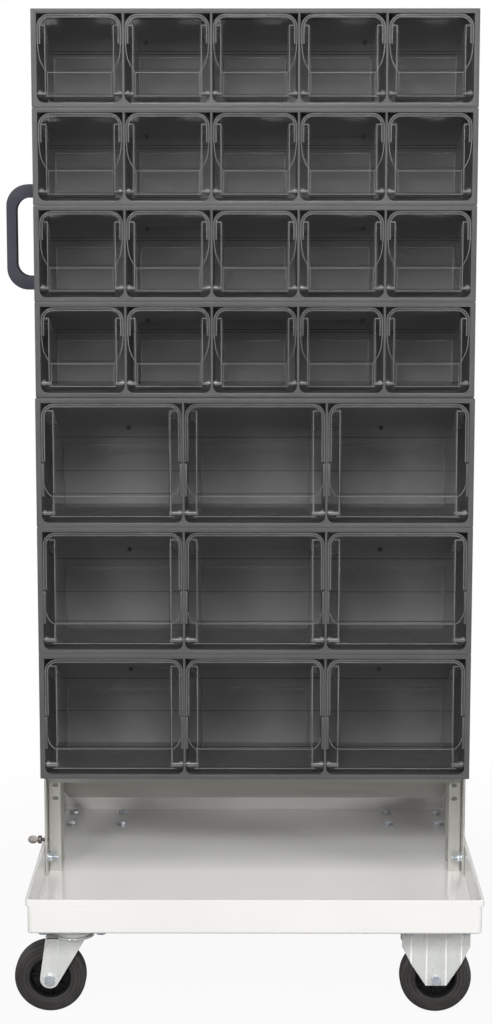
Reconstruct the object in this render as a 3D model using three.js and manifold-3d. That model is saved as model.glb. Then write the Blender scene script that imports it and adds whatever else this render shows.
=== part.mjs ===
// Mobile bin cart: a rack of tip-out bins in stacked housings, on a sheet metal tray with four casters.
// Millimetres, Z up, X to the right of someone facing the bins, Y away from them.
// The origin is on the floor, under the middle of the outer box.

import * as THREE from 'three';
import { mergeVertices } from 'three/addons/utils/BufferGeometryUtils.js';
import Module from 'manifold-3d';

const wasm = await Module();
wasm.setup();

// Clearances
const seatGap = 0.3;
const cutOverrun = 2;
const runningGap = 1.0;

// Counts of facets
const cornerSteps = 2;
const openingSteps = 4;
const boltSides = 6;
const pinSides = 6;
const axleSides = 8;
const wheelSides = 20;
const raceSides = 16;

// Base tray
const trayOverhang = 15;
const trayDepth = 600;
const trayWall = 48.7;
const traySheet = 2;
const hemHeight = 10;
const hemReach = 3;
const casterHeight = 130;

// Caster places and fixing pattern
const casterInsetX = 62;
const casterInsetY = 60;
const boltSpanX = 80;
const boltSpanY = 60;

// Caster plates and bolts
const plateLength = 105;
const plateWidth = 85;
const plateThickness = 3;
const casterBoltRadius = 4;
const casterBoltHead = 5.3;
const casterBoltHeadRadius = 7.5;
const casterNut = 6.5;

// Wheels and axles
const wheelDiameter = 100;
const wheelWidth = 30;
const hubWidth = 33;
const tyreInnerRadius = 29.5;
const tyreDish = 2.5;
const hubBossRadius = 11;
const axleRadius = 4;
const axleHead = 5.3;
const axleHeadRadius = 7.5;
const axleNut = 6.5;
const axleTail = 3;

// Forks
const legThickness = 3;
const legGap = 1;
const fixedLegTop = 95;
const fixedLegBottom = 37;
const fixedLegShoulder = 31;
const fixedToeDrop = 8.6;
const legToeRadius = 15;
const fixedRibWidth = 25;
const fixedRibReach = 1.5;
const fixedRibEnd = 22;
const trail = 33;
const raceTopRadius = 38;
const raceBottomRadius = 31;
const raceDepth = 8;
const collarRadius = 25;
const collarDepth = 7;
const crownRadius = 29;
const crownThickness = 3;
const kingpinRadius = 5;
const kingpinHeadRadius = 9;
const kingpinHead = 3.5;
const swivelLegAhead = 16;
const swivelLegBehind = 38;
const swivelLegShoulder = 3;

// Side plates and uprights
const sidePlateThickness = 3;
const sidePlateDepth = 106;
const uprightDepth = 56;
const uprightFlange = 18.5;
const uprightSheet = 2;
const uprightTopDrop = 12;
const slotWidth = 9;
const slotHeight = 6;
const slotPitch = 20;
const firstSlotZ = 244;

// Rails across the rack
const railThickness = 3;
const railEndGap = 0.5;
const supportRailBottom = 268.5;
const supportLedge = 40;
const rearRailBottom = 229;
const rearRailHeight = 60;
const rearRailSheet = 2;
const rearRailLip = 12;
const rearRailCutIn = 26;
const rearRailCutUp = 36;
const rivetRadius = 2.6;
const rivetHeadRadius = 5;
const rivetHead = 2;

// Housings, shared by both kinds
const stackBottom = 324;
const housingWidth = 600;
const topBar = 6.3;
const bottomBar = 6.1;
const sideBar = 7.2;
const divider = 3;
const backWall = 2.5;
const openingCorner = 10;
const openingLip = 1.5;
const padReach = 4;
const padDepth = 6;
const backHoleRadius = 2.2;
const lugWidth = 5.4;
const lugHeight = 4.4;
const lugReach = 7;

// Bins, shared by both kinds
const pivotInset = 11;
const pivotRadius = 3;
const pivotBite = 1.1;
const pivotEndPlay = 0.4;
const binWall = 1.9;
const tiltClearance = 1.5;
const panelTopCorner = 17;
const backTaper = 2.6;

// The two kinds of row. Heights are from the row's underside, drops from its top, and the space
// behind a tub is to the housing's back wall. Only the large kind has pads beside its bins.
const smallRow = {
  bins: 5,
  rows: 4,
  height: 130,
  backSpace: 64,
  tubInset: 10.8,
  backWallTop: 70,
  sideWallDrop: 21.5,
  holeX: 154,
  holeDrop: 37,
  lugDrop: 30,
};
const largeRow = {
  bins: 3,
  rows: 3,
  height: 178,
  backSpace: 36.8,
  tubInset: 16,
  backWallTop: 98,
  sideWallDrop: 16.5,
  padBottom: 42,
  padTop: 89,
  holeX: 182,
  holeDrop: 61,
  lugDrop: 40,
};

// Side handle
const handleBottom = 995;
const handleLength = 150;
const handleReach = 46;
const handleGrip = 14;
const handleArm = 19;
const handleWidth = 26;
const handleOuterCorner = 31;
const handleInnerCorner = 19;
const handleScrewRadius = 3;
const handleScrewHeadRadius = 5.5;
const handleScrewHead = 3.4;
const handleScrewBite = 14;
const handleScrewInset = 10;

// Foot bolts and wing screw
const footBoltY = 39;
const footBoltZ = 157;
const footBoltRadius = 3.8;
const footBoltHeadRadius = 8;
const footBoltHead = 2.4;
const footNut = 6.4;
const footNutRadius = 7.5;
const footBoltTail = 9;
const wingScrewY = -38;
const wingScrewRise = 4.8;
const wingScrewRadius = 3;
const wingHubRadius = 6;
const wingHubLength = 6;
const wingNeck = 6;
const wingLength = 20.5;
const wingBreadth = 12;
const wingThickness = 3;
const wingSides = 20;
const wingScrewTail = 1.2;
const wingRestTurn = -20;

// Places worked out from the sizes above
const wheelRadius = wheelDiameter / 2;
const trayWidth = housingWidth + 2 * trayOverhang;
const casterSpanX = trayWidth - 2 * casterInsetX;
const casterSpanY = trayDepth - 2 * casterInsetY;
const trayOuterX = trayWidth / 2 - hemReach;
const trayOuterY = trayDepth / 2;
const trayInnerX = trayOuterX - traySheet;
const trayInnerY = trayOuterY - traySheet;
const trayFloorTop = casterHeight + traySheet;
const trayTop = casterHeight + trayWall;
const sidePlateOuter = trayInnerX - seatGap;
const sidePlateInner = sidePlateOuter - sidePlateThickness;
const uprightOuter = sidePlateInner - seatGap;
const uprightInner = uprightOuter - uprightFlange;
const uprightFront = -uprightDepth / 2;
const railBack = uprightFront - seatGap;
const railFront = railBack - railThickness;
const railHalf = sidePlateInner - railEndGap;
const housingBack = uprightFront - seatGap;
const handleRoot = sidePlateOuter + seatGap;
const leftReach = handleRoot + handleReach;
const rightReach = trayWidth / 2;
const centreShift = (leftReach - rightReach) / 2;

// One entry for each housing, from the top row down
const stack = stackRows();
const stackTop = stack[0].bottom + stack[0].kind.height;
const uprightTop = stackTop - uprightTopDrop;
const uprightBottom = trayFloorTop + seatGap;

function stackRows() {
  const kinds = [...Array(smallRow.rows).fill(smallRow), ...Array(largeRow.rows).fill(largeRow)];
  const rows = kinds.map((kind, index) => ({ kind, name: `row${index + 1}` }));
  let bottom = stackBottom;
  for (const row of [...rows].reverse()) {
    row.bottom = bottom;
    bottom += row.kind.height + seatGap;
  }
  return rows;
}

// Finishes
const housingGrey = { color: 0x4c4c4e, roughness: 0.55, metalness: 0 };
const clearPlastic = { color: 0xb9bdc0, roughness: 0.12, metalness: 0, transparent: true, opacity: 0.35 };
const whiteCoat = { color: 0xeceae6, roughness: 0.25, metalness: 0 };
const galvanised = { color: 0xb4b3ad, roughness: 0.35, metalness: 0.85 };
const zincPlate = { color: 0xc2c4c6, roughness: 0.3, metalness: 0.9 };
const handlePlastic = { color: 0x3c3c48, roughness: 0.6, metalness: 0 };
const wheelRubber = { color: 0x3b3836, roughness: 0.75, metalness: 0 };

const axisX = new THREE.Vector3(1, 0, 0);
const axisY = new THREE.Vector3(0, 1, 0);
const axisZ = new THREE.Vector3(0, 0, 1);

function toSolid(geometry) {
  geometry.deleteAttribute('normal');
  geometry.deleteAttribute('uv');
  const merged = mergeVertices(geometry);
  return new wasm.Manifold(new wasm.Mesh({
    numProp: 3,
    vertProperties: Float32Array.from(merged.attributes.position.array),
    triVerts: Uint32Array.from(merged.index.array),
  }));
}

function toGeometry(solid) {
  const data = solid.getMesh();
  const geometry = new THREE.BufferGeometry();
  geometry.setAttribute('position', new THREE.BufferAttribute(data.vertProperties, 3));
  geometry.setIndex(new THREE.BufferAttribute(data.triVerts, 1));
  geometry.computeVertexNormals();
  return geometry;
}

function part(name, solid, finish) {
  const mesh = new THREE.Mesh(toGeometry(solid), new THREE.MeshStandardMaterial(finish));
  mesh.name = name;
  return mesh;
}

function joinAll(solids) {
  return solids.reduce((whole, piece) => whole.add(piece));
}

function cutAll(solid, cutters) {
  return cutters.reduce((left, cutter) => left.subtract(cutter), solid);
}

// An outline in the plane across an axis, drawn out along that axis.
// Outlines are (y, z) for axis x, (x, z) for axis y and (x, y) for axis z.
function drawn(axis, shape, from, to, steps = cornerSteps) {
  const geometry = new THREE.ExtrudeGeometry(shape, {
    depth: to - from,
    bevelEnabled: false,
    curveSegments: steps,
  });
  const turn = new THREE.Matrix4();
  if (axis === 'x') turn.makeBasis(axisY, axisZ, axisX).setPosition(from, 0, 0);
  if (axis === 'y') turn.makeBasis(axisX, axisZ, axisY.clone().negate()).setPosition(0, to, 0);
  if (axis === 'z') turn.setPosition(0, 0, from);
  geometry.applyMatrix4(turn);
  return toSolid(geometry);
}

function outline(points) {
  return new THREE.Shape(points.map(([u, v]) => new THREE.Vector2(u, v)));
}

function box(x0, x1, y0, y1, z0, z1) {
  return drawn('z', outline([[x0, y0], [x1, y0], [x1, y1], [x0, y1]]), z0, z1);
}

function regular(u, v, radius, sides, phase = 0) {
  const step = 2 * Math.PI / sides;
  const points = [];
  for (let i = 0; i < sides; i += 1) {
    const angle = phase + i * step;
    points.push([u + radius * Math.cos(angle), v + radius * Math.sin(angle)]);
  }
  return outline(points);
}

function rod(axis, u, v, radius, from, to, sides) {
  return drawn(axis, regular(u, v, radius, sides, Math.PI / sides), from, to);
}

// A hole that a rod of the same number of sides can turn in.
function boreRadius(radius, sides) {
  return (radius + seatGap) / Math.cos(Math.PI / sides);
}

function bore(axis, u, v, radius, from, to, sides) {
  return rod(axis, u, v, boreRadius(radius, sides), from, to, sides);
}

// A bolt along an axis: its head stands on the outer face, and its shank runs to the end.
function bolt(axis, u, v, sizes, face, end) {
  const out = Math.sign(face - end);
  const tip = face + out * sizes.head;
  const head = rod(axis, u, v, sizes.headRadius, Math.min(face, tip), Math.max(face, tip), boltSides);
  const root = face + out * sizes.head / 2;
  const shank = rod(axis, u, v, sizes.radius, Math.min(root, end), Math.max(root, end), boltSides);
  return head.add(shank);
}

function nut(axis, u, v, radius, from, to) {
  return rod(axis, u, v, radius, Math.min(from, to), Math.max(from, to), boltSides);
}

const casterBoltSizes = { radius: casterBoltRadius, head: casterBoltHead, headRadius: casterBoltHeadRadius };
const footBoltSizes = { radius: footBoltRadius, head: footBoltHead, headRadius: footBoltHeadRadius };
const handleScrewSizes = {
  radius: handleScrewRadius,
  head: handleScrewHead,
  headRadius: handleScrewHeadRadius,
};

// Places that several pieces share
const casterPlaces = [
  { name: 'left_front', side: -1, y: -casterSpanY / 2 },
  { name: 'left_rear', side: -1, y: casterSpanY / 2 },
  { name: 'right_front', side: 1, y: -casterSpanY / 2 },
  { name: 'right_rear', side: 1, y: casterSpanY / 2 },
].map((place) => ({ ...place, x: place.side * casterSpanX / 2 }));

function boltPlaces(place) {
  const places = [];
  for (const u of [-1, 1]) {
    for (const v of [-1, 1]) {
      places.push([place.x + u * boltSpanX / 2, place.y + v * boltSpanY / 2]);
    }
  }
  return places;
}

const casterBolts = casterPlaces.flatMap(boltPlaces);
const footPlaces = [-1, 1].flatMap((side) => [-footBoltY, footBoltY].map((y) => ({ side, y })));
const handleScrewHeights = [handleBottom + handleScrewInset, handleBottom + handleLength - handleScrewInset];
const wingScrewZ = trayTop + wingScrewRise;

function slotHeights() {
  const heights = [];
  for (let z = firstSlotZ; z < uprightTop - slotPitch / 2; z += slotPitch) heights.push(z);
  return heights;
}

// The slot whose height is nearest takes a rail's rivet or a housing's lug.
function nearestSlot(z) {
  return firstSlotZ + Math.round((z - firstSlotZ) / slotPitch) * slotPitch;
}

const slotX = uprightInner + uprightFlange / 2;
const supportRivetHeight = nearestSlot((supportRailBottom + stackBottom) / 2);
const rearRivetHeight = nearestSlot(rearRailBottom + rearRailHeight - slotPitch / 2);

// A caster bolt from the tray's floor down through the caster's plate, with its nut below.
function casterBolt([x, y]) {
  const underPlate = casterHeight - seatGap - plateThickness - seatGap;
  const nutBottom = underPlate - casterNut;
  const shaft = bolt('z', x, y, casterBoltSizes, trayFloorTop, underPlate - casterNut / 2);
  return shaft.add(nut('z', x, y, casterBoltHeadRadius, nutBottom, underPlate));
}

// Base tray: an open tray with a hem along both sides, joined to the bolts that hold the casters.
function baseTray() {
  const shell = box(-trayOuterX, trayOuterX, -trayOuterY, trayOuterY, casterHeight, trayTop);
  const hemX = trayWidth / 2;
  const hem = box(-hemX, hemX, -trayOuterY, trayOuterY, trayTop - hemHeight, trayTop);
  const well = box(-trayInnerX, trayInnerX, -trayInnerY, trayInnerY, trayFloorTop, trayTop + cutOverrun);
  const cutters = [well];
  for (const { side, y } of footPlaces) {
    const ends = [side * (trayInnerX - cutOverrun), side * (trayOuterX + cutOverrun)];
    cutters.push(bore('x', y, footBoltZ, footBoltRadius, Math.min(...ends), Math.max(...ends), boltSides));
  }
  const tray = cutAll(shell.add(hem), cutters);
  return part('base_tray', tray.add(joinAll(casterBolts.map(casterBolt))), whiteCoat);
}

// A foot bolt through the tray's side wall, with its nut on the inner face of the side plate.
function footBolt({ side, y }) {
  const inner = side * sidePlateInner;
  const nutEnd = inner - side * footNut;
  const face = side * (trayOuterX + seatGap);
  const shaft = bolt('x', y, footBoltZ, footBoltSizes, face, nutEnd - side * footBoltTail);
  return shaft.add(nut('x', y, footBoltZ, footNutRadius, inner, nutEnd));
}

// Side plates: full height sheets beside the uprights, joined to the bolts through the tray's walls.
function sidePlate(name, side) {
  const ends = [side * sidePlateInner, side * sidePlateOuter];
  const low = Math.min(...ends);
  const high = Math.max(...ends);
  const half = sidePlateDepth / 2;
  const sheet = box(low, high, -half, half, uprightBottom, uprightTop);
  const cutters = [];
  if (side < 0) {
    cutters.push(bore('x', wingScrewY, wingScrewZ, wingScrewRadius,
      low - cutOverrun, high + cutOverrun, pinSides));
    for (const z of handleScrewHeights) {
      cutters.push(bore('x', 0, z, handleScrewRadius, low - cutOverrun, high + cutOverrun, boltSides));
    }
  }
  const bolts = footPlaces.filter((foot) => foot.side === side).map(footBolt);
  return part(name, cutAll(sheet, cutters).add(joinAll(bolts)), galvanised);
}

// Uprights: channels with their open side inwards and a row of slots in the front flange.
function upright(name, side) {
  const webX = side * uprightOuter;
  const edgeX = side * uprightInner;
  const low = Math.min(webX, edgeX);
  const high = Math.max(webX, edgeX);
  const half = uprightDepth / 2;
  const bar = box(low, high, -half, half, uprightBottom, uprightTop);
  const hollowWeb = side * (uprightOuter - uprightSheet);
  const hollowEdge = side * (uprightInner - cutOverrun);
  const hollow = box(Math.min(hollowWeb, hollowEdge), Math.max(hollowWeb, hollowEdge),
    -half + uprightSheet, half - uprightSheet, uprightBottom - cutOverrun, uprightTop + cutOverrun);
  const x = side * slotX;
  const cutters = [hollow];
  for (const z of slotHeights()) {
    cutters.push(box(x - slotWidth / 2, x + slotWidth / 2,
      -half - cutOverrun, -half + uprightSheet + cutOverrun, z - slotHeight / 2, z + slotHeight / 2));
  }
  cutters.push(bore('y', x, rearRivetHeight, rivetRadius,
    half - uprightSheet - cutOverrun, half + cutOverrun, boltSides));
  if (side < 0) {
    for (const z of handleScrewHeights) {
      cutters.push(bore('x', 0, z, handleScrewRadius,
        low - cutOverrun, low + uprightSheet + cutOverrun, boltSides));
    }
  }
  return part(name, cutAll(bar, cutters), galvanised);
}

// A rivet through a rail and a flange, with a head outside each.
function rivet(x, z, from, to) {
  const outerHead = rod('y', x, z, rivetHeadRadius, from - rivetHead, from, boltSides);
  const innerHead = rod('y', x, z, rivetHeadRadius, to, to + rivetHead, boltSides);
  const shank = rod('y', x, z, rivetRadius, from - rivetHead / 2, to + rivetHead / 2, boltSides);
  return joinAll([outerHead, innerHead, shank]);
}

// Support rail: an angle under the lowest housing, riveted to the front of the uprights.
function supportRail() {
  const top = stackBottom - seatGap;
  const leg = box(-railHalf, railHalf, railFront, railBack, supportRailBottom, top);
  const ledge = box(-railHalf, railHalf, railFront - supportLedge, railBack, top - railThickness, top);
  const flangeInside = uprightFront + uprightSheet + seatGap;
  const rivets = [-1, 1].map((side) => rivet(side * slotX, supportRivetHeight, railFront, flangeInside));
  return part('support_rail', joinAll([leg, ledge, ...rivets]), galvanised);
}

// Rear rail: a sheet with cut-back lower corners and a lip, riveted to the back of the uprights.
function rearRail() {
  const front = uprightDepth / 2 + seatGap;
  const back = front + rearRailSheet;
  const top = rearRailBottom + rearRailHeight;
  const toe = railHalf - rearRailCutIn;
  const cutTop = rearRailBottom + rearRailCutUp;
  const face = drawn('y', outline([
    [-toe, rearRailBottom], [toe, rearRailBottom], [railHalf, cutTop],
    [railHalf, top], [-railHalf, top], [-railHalf, cutTop],
  ]), front, back);
  const lip = box(-toe, toe, front, back + rearRailLip, rearRailBottom, rearRailBottom + rearRailSheet);
  const flangeInside = uprightDepth / 2 - uprightSheet - seatGap;
  const rivets = [-1, 1].map((side) => rivet(side * slotX, rearRivetHeight, flangeInside, back));
  return part('rear_rail', joinAll([face, lip, ...rivets]), galvanised);
}

// Side handle: a D shaped grip on the left side plate, joined to its two screws.
function sideHandle() {
  const root = -handleRoot;
  const tip = root - handleReach;
  const top = handleBottom + handleLength;
  const outer = handleOuterCorner;
  const shape = new THREE.Shape();
  shape.moveTo(root, handleBottom);
  shape.lineTo(root, top);
  shape.lineTo(tip + outer, top);
  shape.absarc(tip + outer, top - outer, outer, Math.PI / 2, Math.PI, false);
  shape.lineTo(tip, handleBottom + outer);
  shape.absarc(tip + outer, handleBottom + outer, outer, Math.PI, 1.5 * Math.PI, false);
  const inner = handleInnerCorner;
  const gapTip = tip + handleGrip;
  const gapTop = top - handleArm;
  const gapBottom = handleBottom + handleArm;
  const gap = new THREE.Shape();
  gap.moveTo(root + cutOverrun, gapBottom);
  gap.lineTo(root + cutOverrun, gapTop);
  gap.lineTo(gapTip + inner, gapTop);
  gap.absarc(gapTip + inner, gapTop - inner, inner, Math.PI / 2, Math.PI, false);
  gap.lineTo(gapTip, gapBottom + inner);
  gap.absarc(gapTip + inner, gapBottom + inner, inner, Math.PI, 1.5 * Math.PI, false);
  const half = handleWidth / 2;
  const grip = drawn('y', shape, -half, half);
  const body = grip.subtract(drawn('y', gap, -half - cutOverrun, half + cutOverrun));
  const webInside = uprightOuter - uprightSheet - seatGap;
  const screws = handleScrewHeights.map((z) => bolt('x', 0, z, handleScrewSizes,
    -webInside, root - handleScrewBite));
  return part('side_handle', body.add(joinAll(screws)), handlePlastic);
}

// Wing screw: a hub with one flat oval wing and a short shank through the left side plate.
function wingScrew() {
  const hubEnd = trayWidth / 2 + seatGap * 2 - sidePlateOuter;
  const shankEnd = -sidePlateThickness - wingScrewTail;
  const hub = rod('x', 0, 0, wingHubRadius, -hubEnd - wingHubLength, -hubEnd, pinSides);
  const shank = rod('x', 0, 0, wingScrewRadius, -hubEnd - wingHubLength / 2, -shankEnd, pinSides);
  const half = (wingLength - wingHubLength) / 2;
  const middle = half - hubEnd - wingLength;
  const oval = [];
  for (let i = 0; i < wingSides; i += 1) {
    const angle = 2 * Math.PI * i / wingSides;
    oval.push([middle + half * Math.cos(angle), wingBreadth / 2 * Math.sin(angle)]);
  }
  const wing = drawn('y', outline(oval), -wingThickness / 2, wingThickness / 2);
  const neck = box(middle, -hubEnd - wingHubLength / 2, -wingThickness / 2, wingThickness / 2,
    -wingNeck / 2, wingNeck / 2);
  const mesh = part('wing_screw', joinAll([hub, shank, neck, wing]), zincPlate);
  mesh.position.set(-sidePlateOuter, wingScrewY, wingScrewZ);
  mesh.rotation.x = THREE.MathUtils.degToRad(wingRestTurn);
  return mesh;
}

// The sizes of one row's openings and bins, worked out from its kind.
function rowSizes(kind) {
  const openingWidth = (housingWidth - 2 * sideBar - (kind.bins - 1) * divider) / kind.bins;
  const pivotZ = bottomBar + runningGap + pivotInset;
  const openingTop = kind.height - topBar;
  const reach = openingTop - pivotZ - tiltClearance;
  const backHeight = kind.backWallTop - pivotZ;
  const backReach = Math.sqrt(reach * reach - backHeight * backHeight);
  const pivotY = housingBack - backWall - kind.backSpace - backReach;
  const panelHalf = openingWidth / 2 - runningGap;
  return {
    openingWidth,
    frontY: pivotY - pivotInset,
    pivotY,
    pitch: openingWidth + divider,
    pivotZ,
    openingTop,
    panelHalf,
    panelTop: openingTop - runningGap - pivotZ,
    backHeight,
    backReach,
    sideTop: kind.height - kind.sideWallDrop - pivotZ,
    tubHalf: panelHalf - kind.tubInset,
  };
}

function binPlaces(kind, sizes) {
  const places = [];
  for (let i = 0; i < kind.bins; i += 1) places.push((i - (kind.bins - 1) / 2) * sizes.pitch);
  return places;
}

// One opening of a housing in the front view. Its lower corners are rounded in the front lip alone:
// behind the lip they are square, so that a bin's foot can roll there.
function openingShape(x, sizes) {
  const half = sizes.openingWidth / 2;
  const low = bottomBar;
  const shape = new THREE.Shape();
  shape.moveTo(x - half, sizes.openingTop);
  shape.lineTo(x - half, low + openingCorner);
  shape.absarc(x - half + openingCorner, low + openingCorner, openingCorner, Math.PI, 1.5 * Math.PI, false);
  shape.lineTo(x + half - openingCorner, low);
  shape.absarc(x + half - openingCorner, low + openingCorner, openingCorner, -Math.PI / 2, 0, false);
  shape.lineTo(x + half, sizes.openingTop);
  return shape;
}

// A moulded lug behind the housing that stands in one of the upright's slots.
function housingLug(row, side) {
  const x = side * slotX;
  const slotZ = nearestSlot(row.bottom + row.kind.height - row.kind.lugDrop);
  const low = slotZ - slotHeight / 2 + seatGap - row.bottom;
  return box(x - lugWidth / 2, x + lugWidth / 2, housingBack - backWall / 2, housingBack + lugReach,
    low, low + lugHeight);
}

// A pad on each side of an opening, at the front of the divider or side bar.
function padPair(x, kind, sizes) {
  const openingHalf = sizes.openingWidth / 2;
  return [-1, 1].map((side) => {
    const wall = x + side * (openingHalf + divider / 2);
    const face = x + side * (openingHalf - padReach);
    return box(Math.min(wall, face), Math.max(wall, face),
      sizes.frontY, sizes.frontY + padDepth, kind.padBottom, kind.padTop);
  });
}

// One bay of a housing: the opening with its front lip, and the square seat behind the lip.
function bayCutters(x, sizes, innerBack) {
  const { frontY } = sizes;
  const openingHalf = sizes.openingWidth / 2;
  return [
    drawn('y', openingShape(x, sizes), frontY - cutOverrun, innerBack, openingSteps),
    box(x - openingHalf, x + openingHalf, frontY + openingLip, innerBack,
      bottomBar, bottomBar + openingCorner),
  ];
}

function housing(row) {
  const { kind } = row;
  const sizes = rowSizes(kind);
  const half = housingWidth / 2;
  const innerBack = housingBack - backWall;
  let body = box(-half, half, sizes.frontY, housingBack, 0, kind.height);
  for (const x of binPlaces(kind, sizes)) body = cutAll(body, bayCutters(x, sizes, innerBack));
  if (kind.padTop) {
    for (const x of binPlaces(kind, sizes)) body = body.add(joinAll(padPair(x, kind, sizes)));
  }
  const outermost = half - sideBar + pivotBite + pivotEndPlay;
  body = body.subtract(bore('x', sizes.pivotY, sizes.pivotZ, pivotRadius, -outermost, outermost, pinSides));
  for (const side of [-1, 1]) {
    body = body.subtract(rod('y', side * kind.holeX, kind.height - kind.holeDrop, backHoleRadius,
      innerBack - cutOverrun, housingBack + cutOverrun, boltSides));
    body = body.add(housingLug(row, side));
  }
  const mesh = part(`housing_${row.name}`, body, housingGrey);
  mesh.position.z = row.bottom;
  return mesh;
}

// The corners of the notch beside a pad, from the lowest up. A kind without pads has none.
function notchPoints(kind, sizes) {
  if (!kind.padTop) return [];
  const notch = sizes.openingWidth / 2 - padReach - runningGap;
  const low = kind.padBottom - sizes.pivotZ - runningGap;
  const high = kind.padTop - sizes.pivotZ + runningGap;
  return [[sizes.panelHalf, low], [notch, low], [notch, high], [sizes.panelHalf, high]];
}

// The front panel in the front view: rounded corners, and a notch beside each pad.
function panelShape(kind, sizes) {
  const half = sizes.panelHalf;
  const low = -pivotInset;
  const top = sizes.panelTop;
  const notches = notchPoints(kind, sizes);
  const shape = new THREE.Shape();
  shape.moveTo(-half + openingCorner, low);
  shape.lineTo(half - openingCorner, low);
  shape.absarc(half - openingCorner, low + openingCorner, openingCorner, -Math.PI / 2, 0, false);
  for (const [u, v] of notches) shape.lineTo(u, v);
  shape.lineTo(half, top - panelTopCorner);
  shape.absarc(half - panelTopCorner, top - panelTopCorner, panelTopCorner, 0, Math.PI / 2, false);
  shape.lineTo(-half + panelTopCorner, top);
  shape.absarc(-half + panelTopCorner, top - panelTopCorner, panelTopCorner, Math.PI / 2, Math.PI, false);
  for (const [u, v] of [...notches].reverse()) shape.lineTo(-u, v);
  shape.lineTo(-half, low + openingCorner);
  shape.absarc(-half + openingCorner, low + openingCorner, openingCorner, Math.PI, 1.5 * Math.PI, false);
  return shape;
}

// The front panel from the side: flat, with its foot rolled round the pivot.
function panelProfile(sizes) {
  const outer = pivotInset;
  const inner = pivotInset - binWall;
  const shape = new THREE.Shape();
  shape.moveTo(-outer, sizes.panelTop);
  shape.lineTo(-outer, 0);
  shape.absarc(0, 0, outer, Math.PI, 1.5 * Math.PI, false);
  shape.lineTo(0, -inner);
  shape.absarc(0, 0, inner, 1.5 * Math.PI, Math.PI, true);
  shape.lineTo(-inner, sizes.panelTop);
  return shape;
}

// The tub from the side, inset all round by a wall, and open above for the inside.
function tubProfile(sizes, wall, open) {
  const front = pivotInset - wall;
  const back = sizes.backReach - wall;
  const shape = new THREE.Shape();
  shape.moveTo(-front, 0);
  shape.absarc(0, 0, front, Math.PI, 1.5 * Math.PI, false);
  shape.lineTo(back, -front);
  if (open) {
    shape.lineTo(back, sizes.sideTop + cutOverrun);
    shape.lineTo(-front, sizes.sideTop + cutOverrun);
  } else {
    shape.lineTo(back, sizes.backHeight);
    shape.lineTo(-front, sizes.sideTop);
  }
  return shape;
}

// The tub from above: a trapezium that narrows to the back.
function tubPlan(sizes, wall) {
  const front = sizes.tubHalf - wall;
  const back = front - backTaper;
  return outline([
    [-front, -pivotInset], [front, -pivotInset], [back, sizes.backReach], [-back, sizes.backReach],
  ]);
}

function tubSolid(sizes, wall, open) {
  const side = drawn('x', tubProfile(sizes, wall, open), -sizes.panelHalf, sizes.panelHalf);
  const plan = drawn('z', tubPlan(sizes, wall), -pivotInset - cutOverrun, sizes.sideTop + 2 * cutOverrun);
  return side.intersect(plan);
}

function binSolid(kind) {
  const sizes = rowSizes(kind);
  const panel = drawn('x', panelProfile(sizes), -sizes.panelHalf - cutOverrun, sizes.panelHalf + cutOverrun)
    .intersect(drawn('y', panelShape(kind, sizes), -pivotInset - cutOverrun, cutOverrun));
  let body = panel.add(tubSolid(sizes, 0, false)).subtract(tubSolid(sizes, binWall, true));
  const pinEnd = sizes.openingWidth / 2 + pivotBite;
  const pinRoot = sizes.tubHalf - binWall / 2;
  for (const side of [-1, 1]) {
    const ends = [side * pinRoot, side * pinEnd];
    body = body.add(rod('x', 0, 0, pivotRadius, Math.min(...ends), Math.max(...ends), pinSides));
  }
  return body;
}

function bins(row, solid) {
  const sizes = rowSizes(row.kind);
  return binPlaces(row.kind, sizes).map((x, index) => {
    const mesh = part(`bin_${row.name}_${index + 1}`, solid, clearPlastic);
    mesh.position.set(x, sizes.pivotY, row.bottom + sizes.pivotZ);
    return mesh;
  });
}

// A wheel turned about its own Y axis: rubber tyre moulded on a plastic hub.
function wheelSolid() {
  const outer = wheelRadius / Math.cos(Math.PI / wheelSides);
  const half = wheelWidth / 2;
  const hubHalf = hubWidth / 2;
  const dishHalf = half - tyreDish;
  const hole = boreRadius(axleRadius, axleSides);
  const profile = [
    [hole, -hubHalf], [hubBossRadius, -hubHalf], [hubBossRadius, -dishHalf], [tyreInnerRadius, -dishHalf],
    [tyreInnerRadius, -half], [outer, -half], [outer, half], [tyreInnerRadius, half],
    [tyreInnerRadius, dishHalf], [hubBossRadius, dishHalf], [hubBossRadius, hubHalf], [hole, hubHalf],
    [hole, -hubHalf],
  ].map(([radius, y]) => new THREE.Vector2(radius, y));
  const geometry = new THREE.LatheGeometry(profile, wheelSides, Math.PI / wheelSides);
  return toSolid(geometry);
}

function wheel(name, x, y) {
  const mesh = part(`wheel_${name}`, wheelSolid(), wheelRubber);
  mesh.position.set(x, y, wheelRadius);
  return mesh;
}

const legInner = hubWidth / 2 + legGap;
const legOuter = legInner + legThickness;

// An axle bolt with its nut, clamped through both legs of a fork.
function axleSolid(x, y) {
  const start = y - legOuter - seatGap;
  const end = y + legOuter + seatGap;
  const head = rod('y', x, wheelRadius, axleHeadRadius, start - axleHead, start, boltSides);
  const tail = end + axleNut + axleTail;
  const shank = rod('y', x, wheelRadius, axleRadius, start - axleHead / 2, tail, axleSides);
  return joinAll([head, shank, nut('y', x, wheelRadius, axleHeadRadius, end, end + axleNut)]);
}

function casterPlate(x, y) {
  const top = casterHeight - seatGap;
  const halfX = plateLength / 2;
  const halfY = plateWidth / 2;
  return box(x - halfX, x + halfX, y - halfY, y + halfY, top - plateThickness, top);
}

function plateHoles(place) {
  const top = casterHeight + cutOverrun;
  const bottom = casterHeight - seatGap - plateThickness - cutOverrun;
  return boltPlaces(place).map(([x, y]) => bore('z', x, y, casterBoltRadius, bottom, top, boltSides));
}

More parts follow.
